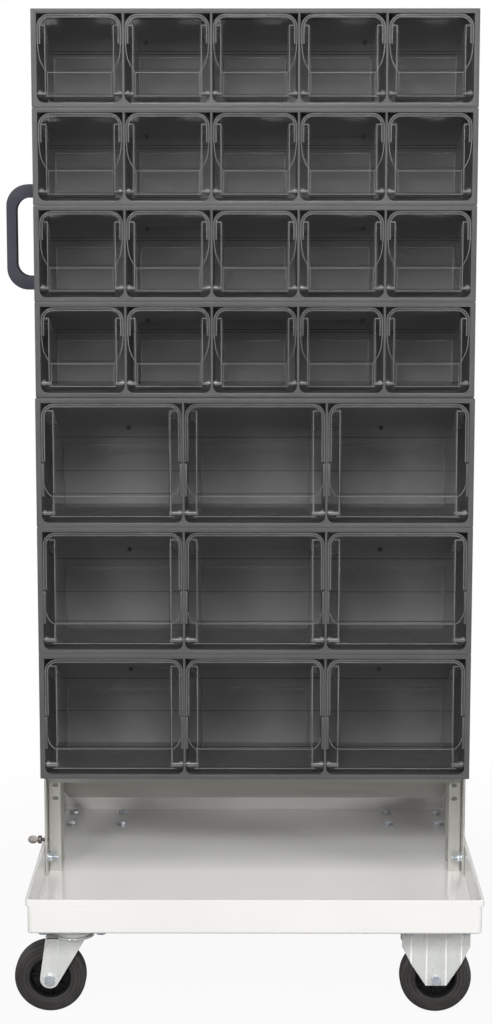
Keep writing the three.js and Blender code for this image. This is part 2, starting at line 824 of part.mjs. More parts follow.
// A fork leg in the side view, from its top edge down to a round toe about the axle.
function legShape(left, right, top, shoulder, axleX) {
  const shape = new THREE.Shape();
  shape.moveTo(left, top);
  shape.lineTo(left, top - shoulder);
  shape.lineTo(axleX - legToeRadius, wheelRadius);
  shape.absarc(axleX, wheelRadius, legToeRadius, Math.PI, 2 * Math.PI, false);
  shape.lineTo(right, top - shoulder);
  shape.lineTo(right, top);
  return shape;
}

function forkLegs(place, shape, x) {
  const legs = [];
  for (const side of [-1, 1]) {
    const ends = [place.y + side * legInner, place.y + side * legOuter];
    const leg = drawn('y', shape, Math.min(...ends), Math.max(...ends));
    legs.push(leg.subtract(bore('y', x, wheelRadius, axleRadius,
      place.y - legOuter - cutOverrun, place.y + legOuter + cutOverrun, axleSides)));
  }
  return legs;
}

function fixedFork(place) {
  const top = casterHeight - seatGap - plateThickness / 2;
  const shape = new THREE.Shape();
  const half = fixedLegTop / 2;
  const toe = fixedLegBottom / 2;
  shape.moveTo(place.x - half, top);
  shape.lineTo(place.x - half, top - fixedLegShoulder);
  shape.lineTo(place.x - toe, wheelRadius - fixedToeDrop);
  shape.lineTo(place.x + toe, wheelRadius - fixedToeDrop);
  shape.lineTo(place.x + half, top - fixedLegShoulder);
  shape.lineTo(place.x + half, top);
  const ribs = [-1, 1].map((side) => {
    const root = place.y + side * (legOuter - legThickness / 2);
    const ends = [root, place.y + side * (legOuter + fixedRibReach)];
    return box(place.x - fixedRibWidth / 2, place.x + fixedRibWidth / 2,
      Math.min(...ends), Math.max(...ends), wheelRadius + fixedRibEnd, top);
  });
  const body = joinAll([casterPlate(place.x, place.y), ...forkLegs(place, shape, place.x), ...ribs]);
  return part(`fixed_fork_${place.y < 0 ? 'front' : 'rear'}`, cutAll(body, plateHoles(place)), zincPlate);
}

function axle(kind, place, x) {
  return part(`${kind}_axle_${place.y < 0 ? 'front' : 'rear'}`, axleSolid(x, place.y), zincPlate);
}

const raceTop = casterHeight - seatGap - plateThickness;
const raceBottom = raceTop - raceDepth;
const collarTop = raceBottom - seatGap;
const crownTop = collarTop - collarDepth;
const crownBottom = crownTop - crownThickness;

function lathed(points, x, y, sides) {
  const geometry = new THREE.LatheGeometry(points.map(([radius, z]) => new THREE.Vector2(radius, z)), sides);
  geometry.rotateX(Math.PI / 2);
  geometry.translate(x, y, 0);
  return toSolid(geometry);
}

// A swivel caster's plate with its race dish, and the kingpin that hangs the fork.
function swivelPlate(place) {
  const headTop = crownBottom - seatGap;
  const headBottom = headTop - kingpinHead;
  const race = lathed([
    [0, headBottom], [kingpinHeadRadius, headBottom], [kingpinHeadRadius, headTop], [kingpinRadius, headTop],
    [kingpinRadius, raceBottom], [raceBottomRadius, raceBottom], [raceTopRadius, raceTop],
    [raceTopRadius, raceTop + plateThickness / 2], [0, raceTop + plateThickness / 2],
  ], place.x, place.y, raceSides);
  const body = casterPlate(place.x, place.y).add(race);
  return part(`swivel_plate_${place.y < 0 ? 'front' : 'rear'}`, cutAll(body, plateHoles(place)), zincPlate);
}

function swivelFork(place) {
  const axleX = place.x - trail;
  const left = place.x - swivelLegBehind;
  const right = place.x + swivelLegAhead;
  const collarRoot = crownTop - crownThickness / 2;
  const collar = rod('z', place.x, place.y, collarRadius, collarRoot, collarTop, raceSides);
  const crown = rod('z', place.x, place.y, crownRadius, crownBottom, crownTop, raceSides);
  const shape = legShape(left, right, crownTop, swivelLegShoulder, axleX);
  const bridge = box(left, right, place.y - legOuter, place.y + legOuter, crownBottom, crownTop);
  const body = joinAll([collar, crown, bridge, ...forkLegs(place, shape, axleX)]);
  const hole = bore('z', place.x, place.y, kingpinRadius,
    crownBottom - cutOverrun, collarTop + cutOverrun, raceSides);
  return part(`swivel_fork_${place.y < 0 ? 'front' : 'rear'}`, body.subtract(hole), zincPlate);
}

function casters() {
  const group = new THREE.Group();
  for (const place of casterPlaces) {
    if (place.side < 0) {
      const axleX = place.x - trail;
      group.add(swivelPlate(place), swivelFork(place));
      group.add(axle('swivel', place, axleX), wheel(place.name, axleX, place.y));
    } else {
      group.add(fixedFork(place), axle('fixed', place, place.x), wheel(place.name, place.x, place.y));
    }
  }
  return group;
}

function rack() {
  const group = new THREE.Group();
  group.add(sidePlate('left_side_plate', -1), sidePlate('right_side_plate', 1));
  group.add(upright('left_upright', -1), upright('right_upright', 1));
  group.add(supportRail(), rearRail(), sideHandle(), wingScrew());
  return group;
}

function binStack() {
  const group = new THREE.Group();
  const solids = new Map([smallRow, largeRow].map((kind) => [kind, binSolid(kind)]));
  for (const row of stack) {
    group.add(housing(row), ...bins(row, solids.get(row.kind)));
  }
  return group;
}

const cart = new THREE.Group();
cart.add(baseTray(), casters(), rack(), binStack());
cart.position.x = centreShift;

export default cart;
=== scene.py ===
"""Fine shapes and finishes for the mobile bin cart, in metres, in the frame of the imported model."""

import logging
import math
from dataclasses import dataclass
from enum import Enum
from typing import Sequence

import bmesh
import bpy
from mathutils import Matrix, Vector
from mathutils.geometry import tessellate_polygon


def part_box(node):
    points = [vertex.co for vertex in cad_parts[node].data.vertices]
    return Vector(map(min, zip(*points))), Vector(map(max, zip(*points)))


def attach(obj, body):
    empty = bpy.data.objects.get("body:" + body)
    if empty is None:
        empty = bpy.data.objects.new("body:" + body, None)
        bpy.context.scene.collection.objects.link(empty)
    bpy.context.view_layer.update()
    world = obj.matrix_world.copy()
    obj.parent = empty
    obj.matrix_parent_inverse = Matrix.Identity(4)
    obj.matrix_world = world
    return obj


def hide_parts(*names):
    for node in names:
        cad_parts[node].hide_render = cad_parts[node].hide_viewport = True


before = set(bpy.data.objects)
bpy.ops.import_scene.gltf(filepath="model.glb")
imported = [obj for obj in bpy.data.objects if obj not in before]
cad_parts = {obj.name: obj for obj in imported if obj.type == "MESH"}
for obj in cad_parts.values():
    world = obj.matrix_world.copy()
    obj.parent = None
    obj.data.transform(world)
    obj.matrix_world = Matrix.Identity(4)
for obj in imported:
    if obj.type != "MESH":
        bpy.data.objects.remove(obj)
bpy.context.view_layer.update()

log = logging.getLogger("bin cart")

Point = tuple[float, float]
Outline = list[Point]
Colour = tuple[float, float, float]
Place = tuple[float, float, float]
Socket = bpy.types.NodeSocket

# Faces larger than this, in square metres, are flat, so that no eased edge shades them.
FLAT_AREA = 0.0008
# How far a piece stands in the next or off a face, so that no two faces share a plane.
HAIR = 0.0002
# The bolts of the cart: across the flats, the shank's radius and the thread's pitch.
BOLT_FLATS = 0.0130
BOLT_RADIUS = 0.0039
THREAD_PITCH = 0.0012


class Along(Enum):
    """The axis that an outline is drawn along: (y, z) for X, (x, z) for Y and (x, y) for Z."""

    X = ((0, 0, 1, 0), (1, 0, 0, 0), (0, 1, 0, 0), (0, 0, 0, 1))
    Y = ((1, 0, 0, 0), (0, 0, 1, 0), (0, 1, 0, 0), (0, 0, 0, 1))
    Z = ((1, 0, 0, 0), (0, 1, 0, 0), (0, 0, 1, 0), (0, 0, 0, 1))

    @property
    def matrix(self) -> Matrix:
        """The matrix that lays (u, v, w) along this axis."""
        return Matrix(self.value)


class Side(Enum):
    """The left or the right side of the cart, as someone who faces the bins sees it."""

    LEFT = -1
    RIGHT = 1


# Node trees and finishes


class Tree:
    """A node tree while it is being made."""

    def __init__(self, tree: bpy.types.NodeTree) -> None:
        """Works on a tree."""
        self.tree = tree

    def node(self, kind: str, inputs: dict[str | int, object] | None = None,
             **settings: str) -> bpy.types.Node:
        """Adds a node.

        Args:
            kind: Its type.
            inputs: A socket or a plain value for each input that is set, by its name or number.
            settings: Its own settings.

        Returns:
            The node.
        """
        node = self.tree.nodes.new(kind)
        for key, value in settings.items():
            setattr(node, key, value)
        for key, value in (inputs or {}).items():
            if isinstance(value, Socket):
                self.tree.links.new(value, node.inputs[key])
            else:
                node.inputs[key].default_value = value
        return node

    def maths(self, operation: str, *values: Socket | float) -> Socket:
        """What a math node makes of sockets and numbers."""
        return self.node("ShaderNodeMath", dict(enumerate(values)), operation=operation).outputs[0]

    def ranged(self, value: Socket, start: float, end: float, low: float, high: float) -> Socket:
        """A value between two bounds, spread between two others.

        Args:
            value: The value.
            start: The bound that becomes low.
            end: The bound that becomes high.
            low: The first result.
            high: The last result.

        Returns:
            The spread value.
        """
        bounds = {"Value": value, "From Min": start, "From Max": end, "To Min": low, "To Max": high}
        return self.node("ShaderNodeMapRange", bounds).outputs["Result"]

    def blended(self, share: Socket, one: Socket, other: float) -> Socket:
        """A value that turns into a number as a share goes from 0 to 1."""
        return self.node("ShaderNodeMix", {0: share, 2: one, 3: other}, data_type="FLOAT").outputs[0]


class Recipe(Tree):
    """A material's node tree, with a Principled surface at its end."""

    def __init__(self, name: str) -> None:
        """Starts the recipe of a new material with this name.

        Args:
            name: The name.
        """
        self.material = bpy.data.materials.new(name)
        self.material.use_nodes = True
        super().__init__(self.material.node_tree)
        self.surface = self.tree.nodes["Principled BSDF"]
        self.place = self.node("ShaderNodeTexCoord").outputs["Object"]

    def stretched(self, scale: Sequence[float]) -> Socket:
        """The object's coordinates, scaled apart by a factor for each axis."""
        return self.node("ShaderNodeMapping", {"Vector": self.place, "Scale": tuple(scale)}).outputs["Vector"]

    def noise(self, scale: float, detail: float = 3.0, stretch: Sequence[float] = (1, 1, 1)) -> Socket:
        """A cloudy pattern from 0 to 1.

        Args:
            scale: How many clouds fit in a metre.
            detail: How many finer layers lie over it.
            stretch: A factor for each axis.

        Returns:
            The pattern's value.
        """
        inputs = {"Vector": self.stretched(stretch), "Scale": scale, "Detail": detail}
        return self.node("ShaderNodeTexNoise", inputs).outputs["Fac"]

    def cells(self, scale: float) -> Socket:
        """A pattern of cells, each with a grey of its own; the scale is how many fit in a metre."""
        texture = self.node("ShaderNodeTexVoronoi", {"Vector": self.stretched((1, 1, 1)), "Scale": scale})
        return self.node("ShaderNodeSeparateColor", {"Color": texture.outputs["Color"]}).outputs[0]

    def spread(self, pattern: Socket, low: float, high: float) -> Socket:
        """A pattern's middle range, spread between two values."""
        return self.ranged(pattern, 0.3, 0.7, low, high)

    def cover(self, finish: "Finish", cloud: Socket, sheen: Socket, rough: tuple[float, float],
              relief: Socket, depth: float, **values: float) -> None:
        """Sets the surface's colour, roughness and bumps.

        Args:
            finish: The finish with the two colours.
            cloud: The pattern that picks the colour.
            sheen: The pattern that picks the roughness.
            rough: The least and the greatest roughness.
            relief: The pattern that raises the surface.
            depth: How high the relief stands, in metres.
            values: Uniform values of the surface's own sockets; an underscore stands for a space.
        """
        colours = {0: self.spread(cloud, 0, 1), 6: (*finish.dark, 1), 7: (*finish.light, 1)}
        mix = self.node("ShaderNodeMix", colours, data_type="RGBA")
        bump = self.node("ShaderNodeBump", {"Strength": 1.0, "Distance": depth, "Height": relief})
        inputs = self.surface.inputs
        self.tree.links.new(mix.outputs[2], inputs["Base Color"])
        self.tree.links.new(self.spread(sheen, *rough), inputs["Roughness"])
        self.tree.links.new(bump.outputs["Normal"], inputs["Normal"])
        for name, value in values.items():
            inputs[name.replace("_", " ")].default_value = value


@dataclass(frozen=True)
class Finish:
    """A finish: its name, the record's slot that it belongs to, and its darkest and its lightest colour."""

    name: str
    slot: str
    dark: Colour
    light: Colour

    def make(self) -> bpy.types.Material:
        """Makes the material."""
        recipe = Recipe(self.name)
        self.mix(recipe)
        return recipe.material

    def mix(self, recipe: Recipe) -> None:
        """Covers the recipe's surface."""
        raise NotImplementedError


@dataclass(frozen=True)
class MouldedPlastic(Finish):
    """Injection moulded plastic with a fine grain."""

    roughness: float = 0.5
    grain: float = 2500.0
    grain_depth: float = 0.00003
    shine: float = 0.5

    def mix(self, recipe: Recipe) -> None:
        """Covers the recipe's surface.

        Args:
            recipe: The recipe of the material.
        """
        recipe.cover(self, recipe.noise(14, 4), recipe.noise(60, 2),
                     (self.roughness - 0.05, self.roughness + 0.07),
                     recipe.noise(self.grain, 2), self.grain_depth, Specular_IOR_Level=self.shine)


@dataclass(frozen=True)
class ClearPlastic(Finish):
    """Clear moulded plastic. The opacity is what one face of a wall holds back."""

    opacity: float = 1.0
    refraction: float = 1.5
    roughness: float = 0.06

    def mix(self, recipe: Recipe) -> None:
        """Covers the recipe's surface.

        Args:
            recipe: The recipe of the material.
        """
        recipe.cover(self, recipe.noise(11, 2, (1.0, 1.0, 0.35)), recipe.noise(35, 3),
                     (self.roughness * 0.7, self.roughness * 1.4), recipe.noise(22, 1), 0.00008,
                     Alpha=self.opacity, IOR=self.refraction)


@dataclass(frozen=True)
class WhiteCoat(Finish):
    """Powder coated sheet metal: glossy, with a faint orange peel."""

    def mix(self, recipe: Recipe) -> None:
        """Covers the recipe's surface.

        Args:
            recipe: The recipe of the material.
        """
        recipe.cover(self, recipe.noise(3.5, 3), recipe.noise(9, 3), (0.17, 0.26), recipe.noise(420, 2),
                     0.00004, Coat_Weight=0.35, Coat_Roughness=0.12)


@dataclass(frozen=True)
class Galvanised(Finish):
    """Zinc on sheet: soft spangle, rolling streaks along its length and a dull shine."""

    roughness: float = 0.36
    spangle: float = 260.0
    streak: tuple[float, float, float] = (1.0, 1.0, 0.06)
    spangle_share: float = 0.06
    metal: float = 0.6

    def mix(self, recipe: Recipe) -> None:
        """Covers the recipe's surface.

        Args:
            recipe: The recipe of the material.
        """
        streaks = recipe.noise(38, 3, self.streak)
        cloud = recipe.maths("MULTIPLY_ADD", recipe.cells(self.spangle), self.spangle_share, streaks)
        recipe.cover(self, cloud, recipe.noise(70, 3, self.streak),
                     (self.roughness - 0.07, self.roughness + 0.09),
                     recipe.noise(900, 2), 0.00001, Metallic=self.metal)


@dataclass(frozen=True)
class Rubber(Finish):
    """Dark rubber, matt and a little dusty."""

    def mix(self, recipe: Recipe) -> None:
        """Covers the recipe's surface.

        Args:
            recipe: The recipe of the material.
        """
        recipe.cover(self, recipe.noise(45, 5), recipe.noise(90, 4), (0.55, 0.75), recipe.noise(1200, 3),
                     0.00008, Specular_IOR_Level=0.4)


HOUSING_PLASTIC = MouldedPlastic("housing_plastic", "housing_grey", (0.066, 0.066, 0.067),
                                 (0.082, 0.082, 0.082), 0.42)
# A lighter copy of the housing plastic for the back walls inside the bays: painted light.
BAY_PLASTIC_PAINTED_LIGHT = MouldedPlastic("bay_plastic", "housing_grey", (0.185, 0.185, 0.186), (0.225, 0.225, 0.225),
                             0.45)
HANDLE_PLASTIC = MouldedPlastic("handle_plastic", "handle_plastic", (0.024, 0.024, 0.037),
                                (0.048, 0.048, 0.067), 0.5, 1500.0, 0.00012, 0.3)
# A near-black copy of the handle plastic for the handle's sides and rounds: painted shade.
HANDLE_EDGE_SHADE = MouldedPlastic("handle_edge", "handle_plastic", (0.004, 0.004, 0.007), (0.008, 0.008, 0.012),
                             0.55, 1500.0, 0.00012, 0.03)
# Black hub plastic; the same finish closes the holes in the housings' back walls as painted shade.
HUB_PLASTIC_AND_HOLE_SHADE = MouldedPlastic("hub_plastic", "wheel_rubber", (0.006, 0.006, 0.006), (0.010, 0.010, 0.010), 0.4,
                             shine=0.25)
PANEL_PLASTIC = ClearPlastic("clear_panel", "clear_plastic", (0.05, 0.05, 0.05), (0.08, 0.08, 0.08), 0.05,
                             2.0, 0.12)
TUB_PLASTIC = ClearPlastic("clear_tub", "clear_plastic", (0.16, 0.16, 0.16), (0.22, 0.22, 0.22), 0.11, 1.8,
                           0.55)
BAND_PLASTIC = ClearPlastic("clear_band", "clear_plastic", (0.09, 0.09, 0.09), (0.13, 0.13, 0.13), 0.28, 1.6,
                            0.30)
# A lighter, more opaque copy of the clear plastic for the bins' real raised rims, lines and edges: painted
# highlight on them.
RIM_HIGHLIGHT_PLASTIC = ClearPlastic("clear_rim", "clear_plastic", (0.16, 0.16, 0.16), (0.25, 0.25, 0.25), 0.72, 1.6,
                           0.25)
SHADE_PLASTIC = ClearPlastic("clear_shade", "clear_plastic", (0.012, 0.012, 0.012), (0.02, 0.02, 0.02), 0.60,
                             1.4, 0.40)
# A near-black copy of the housing plastic for thin strips across the bays' back walls: painted shade of
# grooves.
GROOVE_PAINTED_SHADE = MouldedPlastic("groove_plastic", "housing_grey", (0.020, 0.020, 0.020),
                                (0.030, 0.030, 0.030), 0.6)
TRAY_COAT = WhiteCoat("white_coat", "white_coat", (0.80, 0.785, 0.765), (0.86, 0.845, 0.825))
SHEET_ZINC = Galvanised("galvanised_sheet", "galvanised", (0.56, 0.555, 0.52), (0.68, 0.675, 0.64))
# A darker copy of the galvanised sheet for the two rails under the stack: painted shade.
RAIL_ZINC_SHADED = Galvanised("galvanised_rail", "galvanised", (0.34, 0.335, 0.31), (0.39, 0.385, 0.36), 0.34, 260.0,
                       (0.05, 1.0, 1.0), 0.03)
FORK_ZINC = Galvanised("fork_zinc", "zinc_plate", (0.72, 0.74, 0.71), (0.82, 0.83, 0.81), 0.24, 60.0,
                       (1.0, 1.0, 0.3), 0.03, 0.4)
# A near-white copy of the fork zinc for the narrow crease columns of the fixed fork: painted highlight.
FORK_CREASE_HIGHLIGHT = Galvanised("fork_crease", "zinc_plate", (0.95, 0.95, 0.93), (0.98, 0.98, 0.97), 0.30, 60.0,
                         (1.0, 1.0, 0.3), 0.02, 0.1)
BOLT_ZINC = Galvanised("bolt_zinc", "zinc_plate", (0.42, 0.47, 0.52), (0.66, 0.70, 0.74), 0.26, 300.0,
                       (1.0, 1.0, 1.0))
SCREW_STEEL = Galvanised("wing_screw_steel", "zinc_plate", (0.09, 0.08, 0.075), (0.20, 0.18, 0.165), 0.38,
                         300.0, (1.0, 1.0, 1.0))
TYRE_RUBBER = Rubber("tyre_rubber", "wheel_rubber", (0.017, 0.016, 0.015), (0.034, 0.031, 0.030))

_made: dict[str, bpy.types.Material] = {}


def material_of(finish: Finish) -> bpy.types.Material:
    """Makes a finish's material once and returns it each time.

    Args:
        finish: The finish.

    Returns:
        The material.
    """
    if finish.name not in _made:
        _made[finish.name] = finish.make()
    return _made[finish.name]


# Outlines


def arc(centre: Point, radius: float, start: float, end: float, steps: int) -> Outline:
    """Points on an arc, both ends included.

    Args:
        centre: The arc's centre.
        radius: Its radius.
        start: Its first angle in degrees.
        end: Its last angle in degrees.
        steps: How many chords it has.

    Returns:
        The points in order.
    """
    angles = [math.radians(start + (end - start) * i / steps) for i in range(steps + 1)]
    return [(centre[0] + radius * math.cos(a), centre[1] + radius * math.sin(a)) for a in angles]


def round_box(left: float, right: float, low: float, high: float, radii: Sequence[float],
              steps: int = 6) -> Outline:
    """A rectangle with round corners, anticlockwise from its lower left corner.

    Args:
        left: Its left edge.
        right: Its right edge.
        low: Its lower edge.
        high: Its upper edge.
        radii: The radii of its lower left, lower right, upper right and upper left corners.
        steps: How many chords a corner has.

    Returns:
        The outline.
    """
    a, b, c, d = radii
    points = arc((left + a, low + a), a, 180, 270, steps)
    points += arc((right - b, low + b), b, 270, 360, steps)
    points += arc((right - c, high - c), c, 0, 90, steps)
    points += arc((left + d, high - d), d, 90, 180, steps)
    return points


def regular(centre: Point, radius: float, sides: int, turn: float = 0.0) -> Outline:
    """A regular polygon round a centre.

    Args:
        centre: Its centre.
        radius: The distance to its corners.
        sides: How many sides it has.
        turn: How far it is turned, in degrees.

    Returns:
        The outline.
    """
    return arc(centre, radius, turn, turn + 360, sides)[:-1]


def mirrored(right: Outline) -> Outline:
    """Points on the right, then their mirror images on the left from the last to the first."""
    return right + [(-x, z) for x, z in reversed(right)]


def both_sides(front: Outline) -> Outline:
    """(radius, y) points in front of the middle, then their mirror images from the last to the first."""
    return front + [(radius, -y) for radius, y in reversed(front)]


# Meshes


def prism(bm: bmesh.types.BMesh, outline: Outline, along: Along, low: float, high: float,
          holes: Sequence[Outline] = ()) -> None:
    """Adds an outline, with holes if it has any, drawn along an axis.

    Args:
        bm: The mesh to add to.
        outline: The outer outline.
        along: The axis to draw it along.
        low: One end on that axis.
        high: The other end.
        holes: The outlines of its holes.
    """
    low, high = sorted((low, high))
    loops = [outline, *holes]
    triangles = tessellate_polygon([[Vector((u, v, 0)) for u, v in loop] for loop in loops])
    flat = [point for loop in loops for point in loop]
    matrix = along.matrix
    first = [bm.verts.new(matrix @ Vector((u, v, low))) for u, v in flat]
    last = [bm.verts.new(matrix @ Vector((u, v, high))) for u, v in flat]
    faces = []
    for a, b, c in triangles:
        faces.append(bm.faces.new((first[a], first[b], first[c])))
        faces.append(bm.faces.new((last[c], last[b], last[a])))
    start = 0
    for loop in loops:
        for i in range(len(loop)):
            j, k = start + i, start + (i + 1) % len(loop)
            faces.append(bm.faces.new((first[j], first[k], last[k], last[j])))
        start += len(loop)
    bmesh.ops.recalc_face_normals(bm, faces=faces)


def block(bm: bmesh.types.BMesh, low: Sequence[float], high: Sequence[float], radius: float = 0.0,
          steps: int = 2) -> None:
    """Adds a box with rounded edges.

    Args:
        bm: The mesh to add to.
        low: One corner.
        high: The opposite corner.
        radius: The radius of its edges.
        steps: How many chords an edge's round has.
    """
    size = [abs(b - a) for a, b in zip(low, high)]
    middle = [(a + b) / 2 for a, b in zip(low, high)]
    matrix = Matrix.Translation(middle) @ Matrix.Diagonal((*size, 1))
    made = bmesh.ops.create_cube(bm, size=1, matrix=matrix)
    if radius:
        edges = list(dict.fromkeys(edge for vert in made["verts"] for edge in vert.link_edges))
        bmesh.ops.bevel(bm, geom=edges, offset=radius, segments=steps, profile=0.5, affect="EDGES",
                        clamp_overlap=True)


def skin(bm: bmesh.types.BMesh, rings: Sequence[Sequence[bmesh.types.BMVert]],
         closed: bool = True) -> list[bmesh.types.BMFace]:
    """Joins each row of points to the next by faces.

    Args:
        bm: The mesh to add to.
        rings: The rows, which have as many points each.
        closed: Whether each row is a ring, whose last point meets its first.

    Returns:
        The faces.
    """
    faces = []
    for one, two in zip(rings, rings[1:]):
        for i in range(len(one) if closed else len(one) - 1):
            j = (i + 1) % len(one)
            faces.append(bm.faces.new((one[i], one[j], two[j], two[i])))
    return faces


def turned(bm: bmesh.types.BMesh, profile: Outline, along: Along, centre: Sequence[float],
           steps: int = 48) -> None:
    """Adds a profile turned about an axis.

    Args:
        bm: The mesh to add to.
        profile: (radius, height) points. It closes on itself, or starts and ends on the axis.
        along: The axis it is turned about.
        centre: A point on that axis.
        steps: How many steps a turn has.
    """
    matrix = Matrix.Translation(centre) @ along.matrix
    on_axis = abs(profile[0][0]) < 1e-9
    rings: list[list[bmesh.types.BMVert]] = []
    for radius, height in profile:
        if abs(radius) < 1e-9:
            rings.append([bm.verts.new(matrix @ Vector((0, 0, height)))])
            continue
        angles = [2 * math.pi * i / steps for i in range(steps)]
        rings.append([bm.verts.new(matrix @ Vector((radius * math.cos(a), radius * math.sin(a), height)))
                      for a in angles])
    faces = []
    pairs = list(zip(rings, rings[1:]))
    if not on_axis:
        pairs.append((rings[-1], rings[0]))
    for one, two in pairs:
        for i in range(steps):
            j = (i + 1) % steps
            corners = [one[i % len(one)], one[j % len(one)], two[j % len(two)], two[i % len(two)]]
            unique = list(dict.fromkeys(corners))
            if len(unique) > 2:
                faces.append(bm.faces.new(unique))
    bmesh.ops.recalc_face_normals(bm, faces=faces)


def threaded(radius: float, start: float, end: float, pitch: float) -> Outline:
    """The profile of a threaded shank from its root to its chamfered tip.

    Args:
        radius: The thread's outer radius.
        start: The height of its root.
        end: The height of its tip.
        pitch: The height of one ridge.

    Returns:
        Points to turn about the shank's axis, from its root to the axis at its tip.
    """
    away = 1 if end > start else -1
    points = [(radius, start)]
    height = start + away * pitch
    while abs(height - start) < abs(end - start) - pitch:
        points += [(radius * 0.86, height - away * pitch / 2), (radius, height)]
        height += away * pitch
    return points + [(radius, end - away * pitch), (radius * 0.72, end), (0, end)]


def hexagon(bm: bmesh.types.BMesh, along: Along, centre: Sequence[float], flats: float, low: float,
            high: float, turn: float = 0.0) -> None:
    """Adds a hexagonal nut or bolt head, with chamfered corners.

    Args:
        bm: The mesh to add to.
        along: The axis of its thread.
        centre: A point on that axis.
        flats: The distance across its flats.
        low: One end along the axis, from the centre.
        high: The other end.
        turn: How far it is turned, in degrees.
    """
    low, high = sorted((low, high))
    corner = flats / math.sqrt(3)
    matrix = Matrix.Translation(centre) @ along.matrix
    inset = (high - low) * 0.16
    rings = []
    for height, share in ((low, 0.87), (low + inset, 1.0), (high - inset, 1.0), (high, 0.87)):
        ring = []
        for i in range(24):
            angle = math.radians(15 * i)
            flat_angle = (angle + math.pi / 6) % (math.pi / 3) - math.pi / 6
            reach = corner * math.cos(math.pi / 6) / math.cos(flat_angle)
            radius = reach if share == 1.0 else min(reach, corner * 0.9)
            spin = angle + math.radians(turn)
            spot = Vector((radius * math.cos(spin), radius * math.sin(spin), height))
            ring.append(bm.verts.new(matrix @ spot))
        rings.append(ring)
    faces = [bm.faces.new(rings[0]), bm.faces.new(rings[-1]), *skin(bm, rings)]
    bmesh.ops.recalc_face_normals(bm, faces=faces)


def linked(name: str, data: bpy.types.ID) -> bpy.types.Object:
    """Adds an object with this name and data to the scene.

    Args:
        name: The name.
        data: The data that the object holds.

    Returns:
        The object, in the scene.
    """
    obj = bpy.data.objects.new(name, data)
    bpy.context.scene.collection.objects.link(obj)
    return obj


def bare_object(bm: bmesh.types.BMesh, name: str) -> bpy.types.Object:
    """Turns a mesh in the making into an object at the origin, and frees it.

    Args:
        bm: The mesh to add to.
        name: The name.

    Returns:
        The object, without a material.
    """
    mesh = bpy.data.meshes.new(name)
    bm.to_mesh(mesh)
    bm.free()
    return linked(name, mesh)


def object_of(bm: bmesh.types.BMesh, name: str, finishes: Sequence[Finish], bevel: float = 0.0,
              angle: float = 35.0) -> bpy.types.Object:
    """Turns a mesh in the making into an object, with its edges eased and its faces smooth.

    Args:
        bm: The mesh, which is freed.
        name: The object's name.
        finishes: Its finishes, by material index.
        bevel: The width of the bevel on its sharp edges.
        angle: The angle in degrees above which an edge counts as sharp.

    Returns:
        The new object, at the origin.
    """
    obj = bare_object(bm, name)
    for finish in finishes:
        obj.data.materials.append(material_of(finish))
    if bevel:
        ease_edges(obj, bevel, 2, angle)
    smooth(obj.data, angle)
    return obj


def ease_edges(obj: bpy.types.Object, width: float, steps: int, angle: float) -> None:
    """Rounds an object's sharp edges.

    Args:
        obj: The object.
        width: The width of the round.
        steps: How many chords it has.
        angle: The angle in degrees above which an edge counts as sharp.
    """
    ease = obj.modifiers.new("ease", "BEVEL")
    ease.width = width
    ease.segments = steps
    ease.limit_method = "ANGLE"
    ease.angle_limit = math.radians(angle)
    apply_modifiers(obj)


def apply_modifiers(obj: bpy.types.Object) -> None:
    """Replaces an object's mesh by what its modifiers make of it, and removes them.

    Args:
        obj: The object.
    """
    graph = bpy.context.evaluated_depsgraph_get()
    graph.update()
    mesh = bpy.data.meshes.new_from_object(obj.evaluated_get(graph))
    obj.modifiers.clear()
    obj.data = mesh


def smooth(mesh: bpy.types.Mesh, angle: float) -> None:
    """Shades a mesh smooth, but not across edges sharper than an angle in degrees or over large flats."""
    mesh.set_sharp_from_angle(angle=math.radians(angle))
    mesh.polygons.foreach_set("use_smooth", [face.area < FLAT_AREA for face in mesh.polygons])


def copy_at(source: bpy.types.Object, name: str, offset: Sequence[float]) -> bpy.types.Object:
    """A copy of an object under a new name, with its mesh moved by an offset.

    Args:
        source: The object to copy.
        name: The name.
        offset: Where the copy goes.

    Returns:
        The copy.
    """
    mesh = source.data.copy()
    mesh.transform(Matrix.Translation(offset))
    return linked(name, mesh)


def merge(name: str, objects: Sequence[bpy.types.Object]) -> bpy.types.Object:
    """Joins plain mesh objects into one, with their materials.

    Args:
        name: The new object's name.
        objects: The objects, which are removed.

    Returns:
        The joined object.
    """
    bm = bmesh.new()
    slots: list[bpy.types.Material] = []
    for obj in objects:
        start = len(bm.faces)
        bm.from_mesh(obj.data)
        bm.faces.ensure_lookup_table()
        slots += [material for material in obj.data.materials if material not in slots]
        indices = [slots.index(material) for material in obj.data.materials]
        for face in bm.faces[start:]:
            face.material_index = indices[face.material_index]
        bpy.data.objects.remove(obj)
    joined = bare_object(bm, name)
    for material in slots:
        joined.data.materials.append(material)
    return joined


def dress(node: str, look: str, parts: Sequence[bpy.types.Object],
          body: str = "cart") -> bpy.types.Object:
    """Makes parts into the visible piece of a CAD node.

    Args:
        node: The node that the piece stands for.
        look: What the piece's name adds to the node's.
        parts: The parts, which are joined.
        body: The body that the piece rides.

    Returns:
        The piece.
    """
    piece = merge(f"{node}_{look}", parts)
    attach(piece, body)
    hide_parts(node)
    return piece


# Geometry Nodes trees


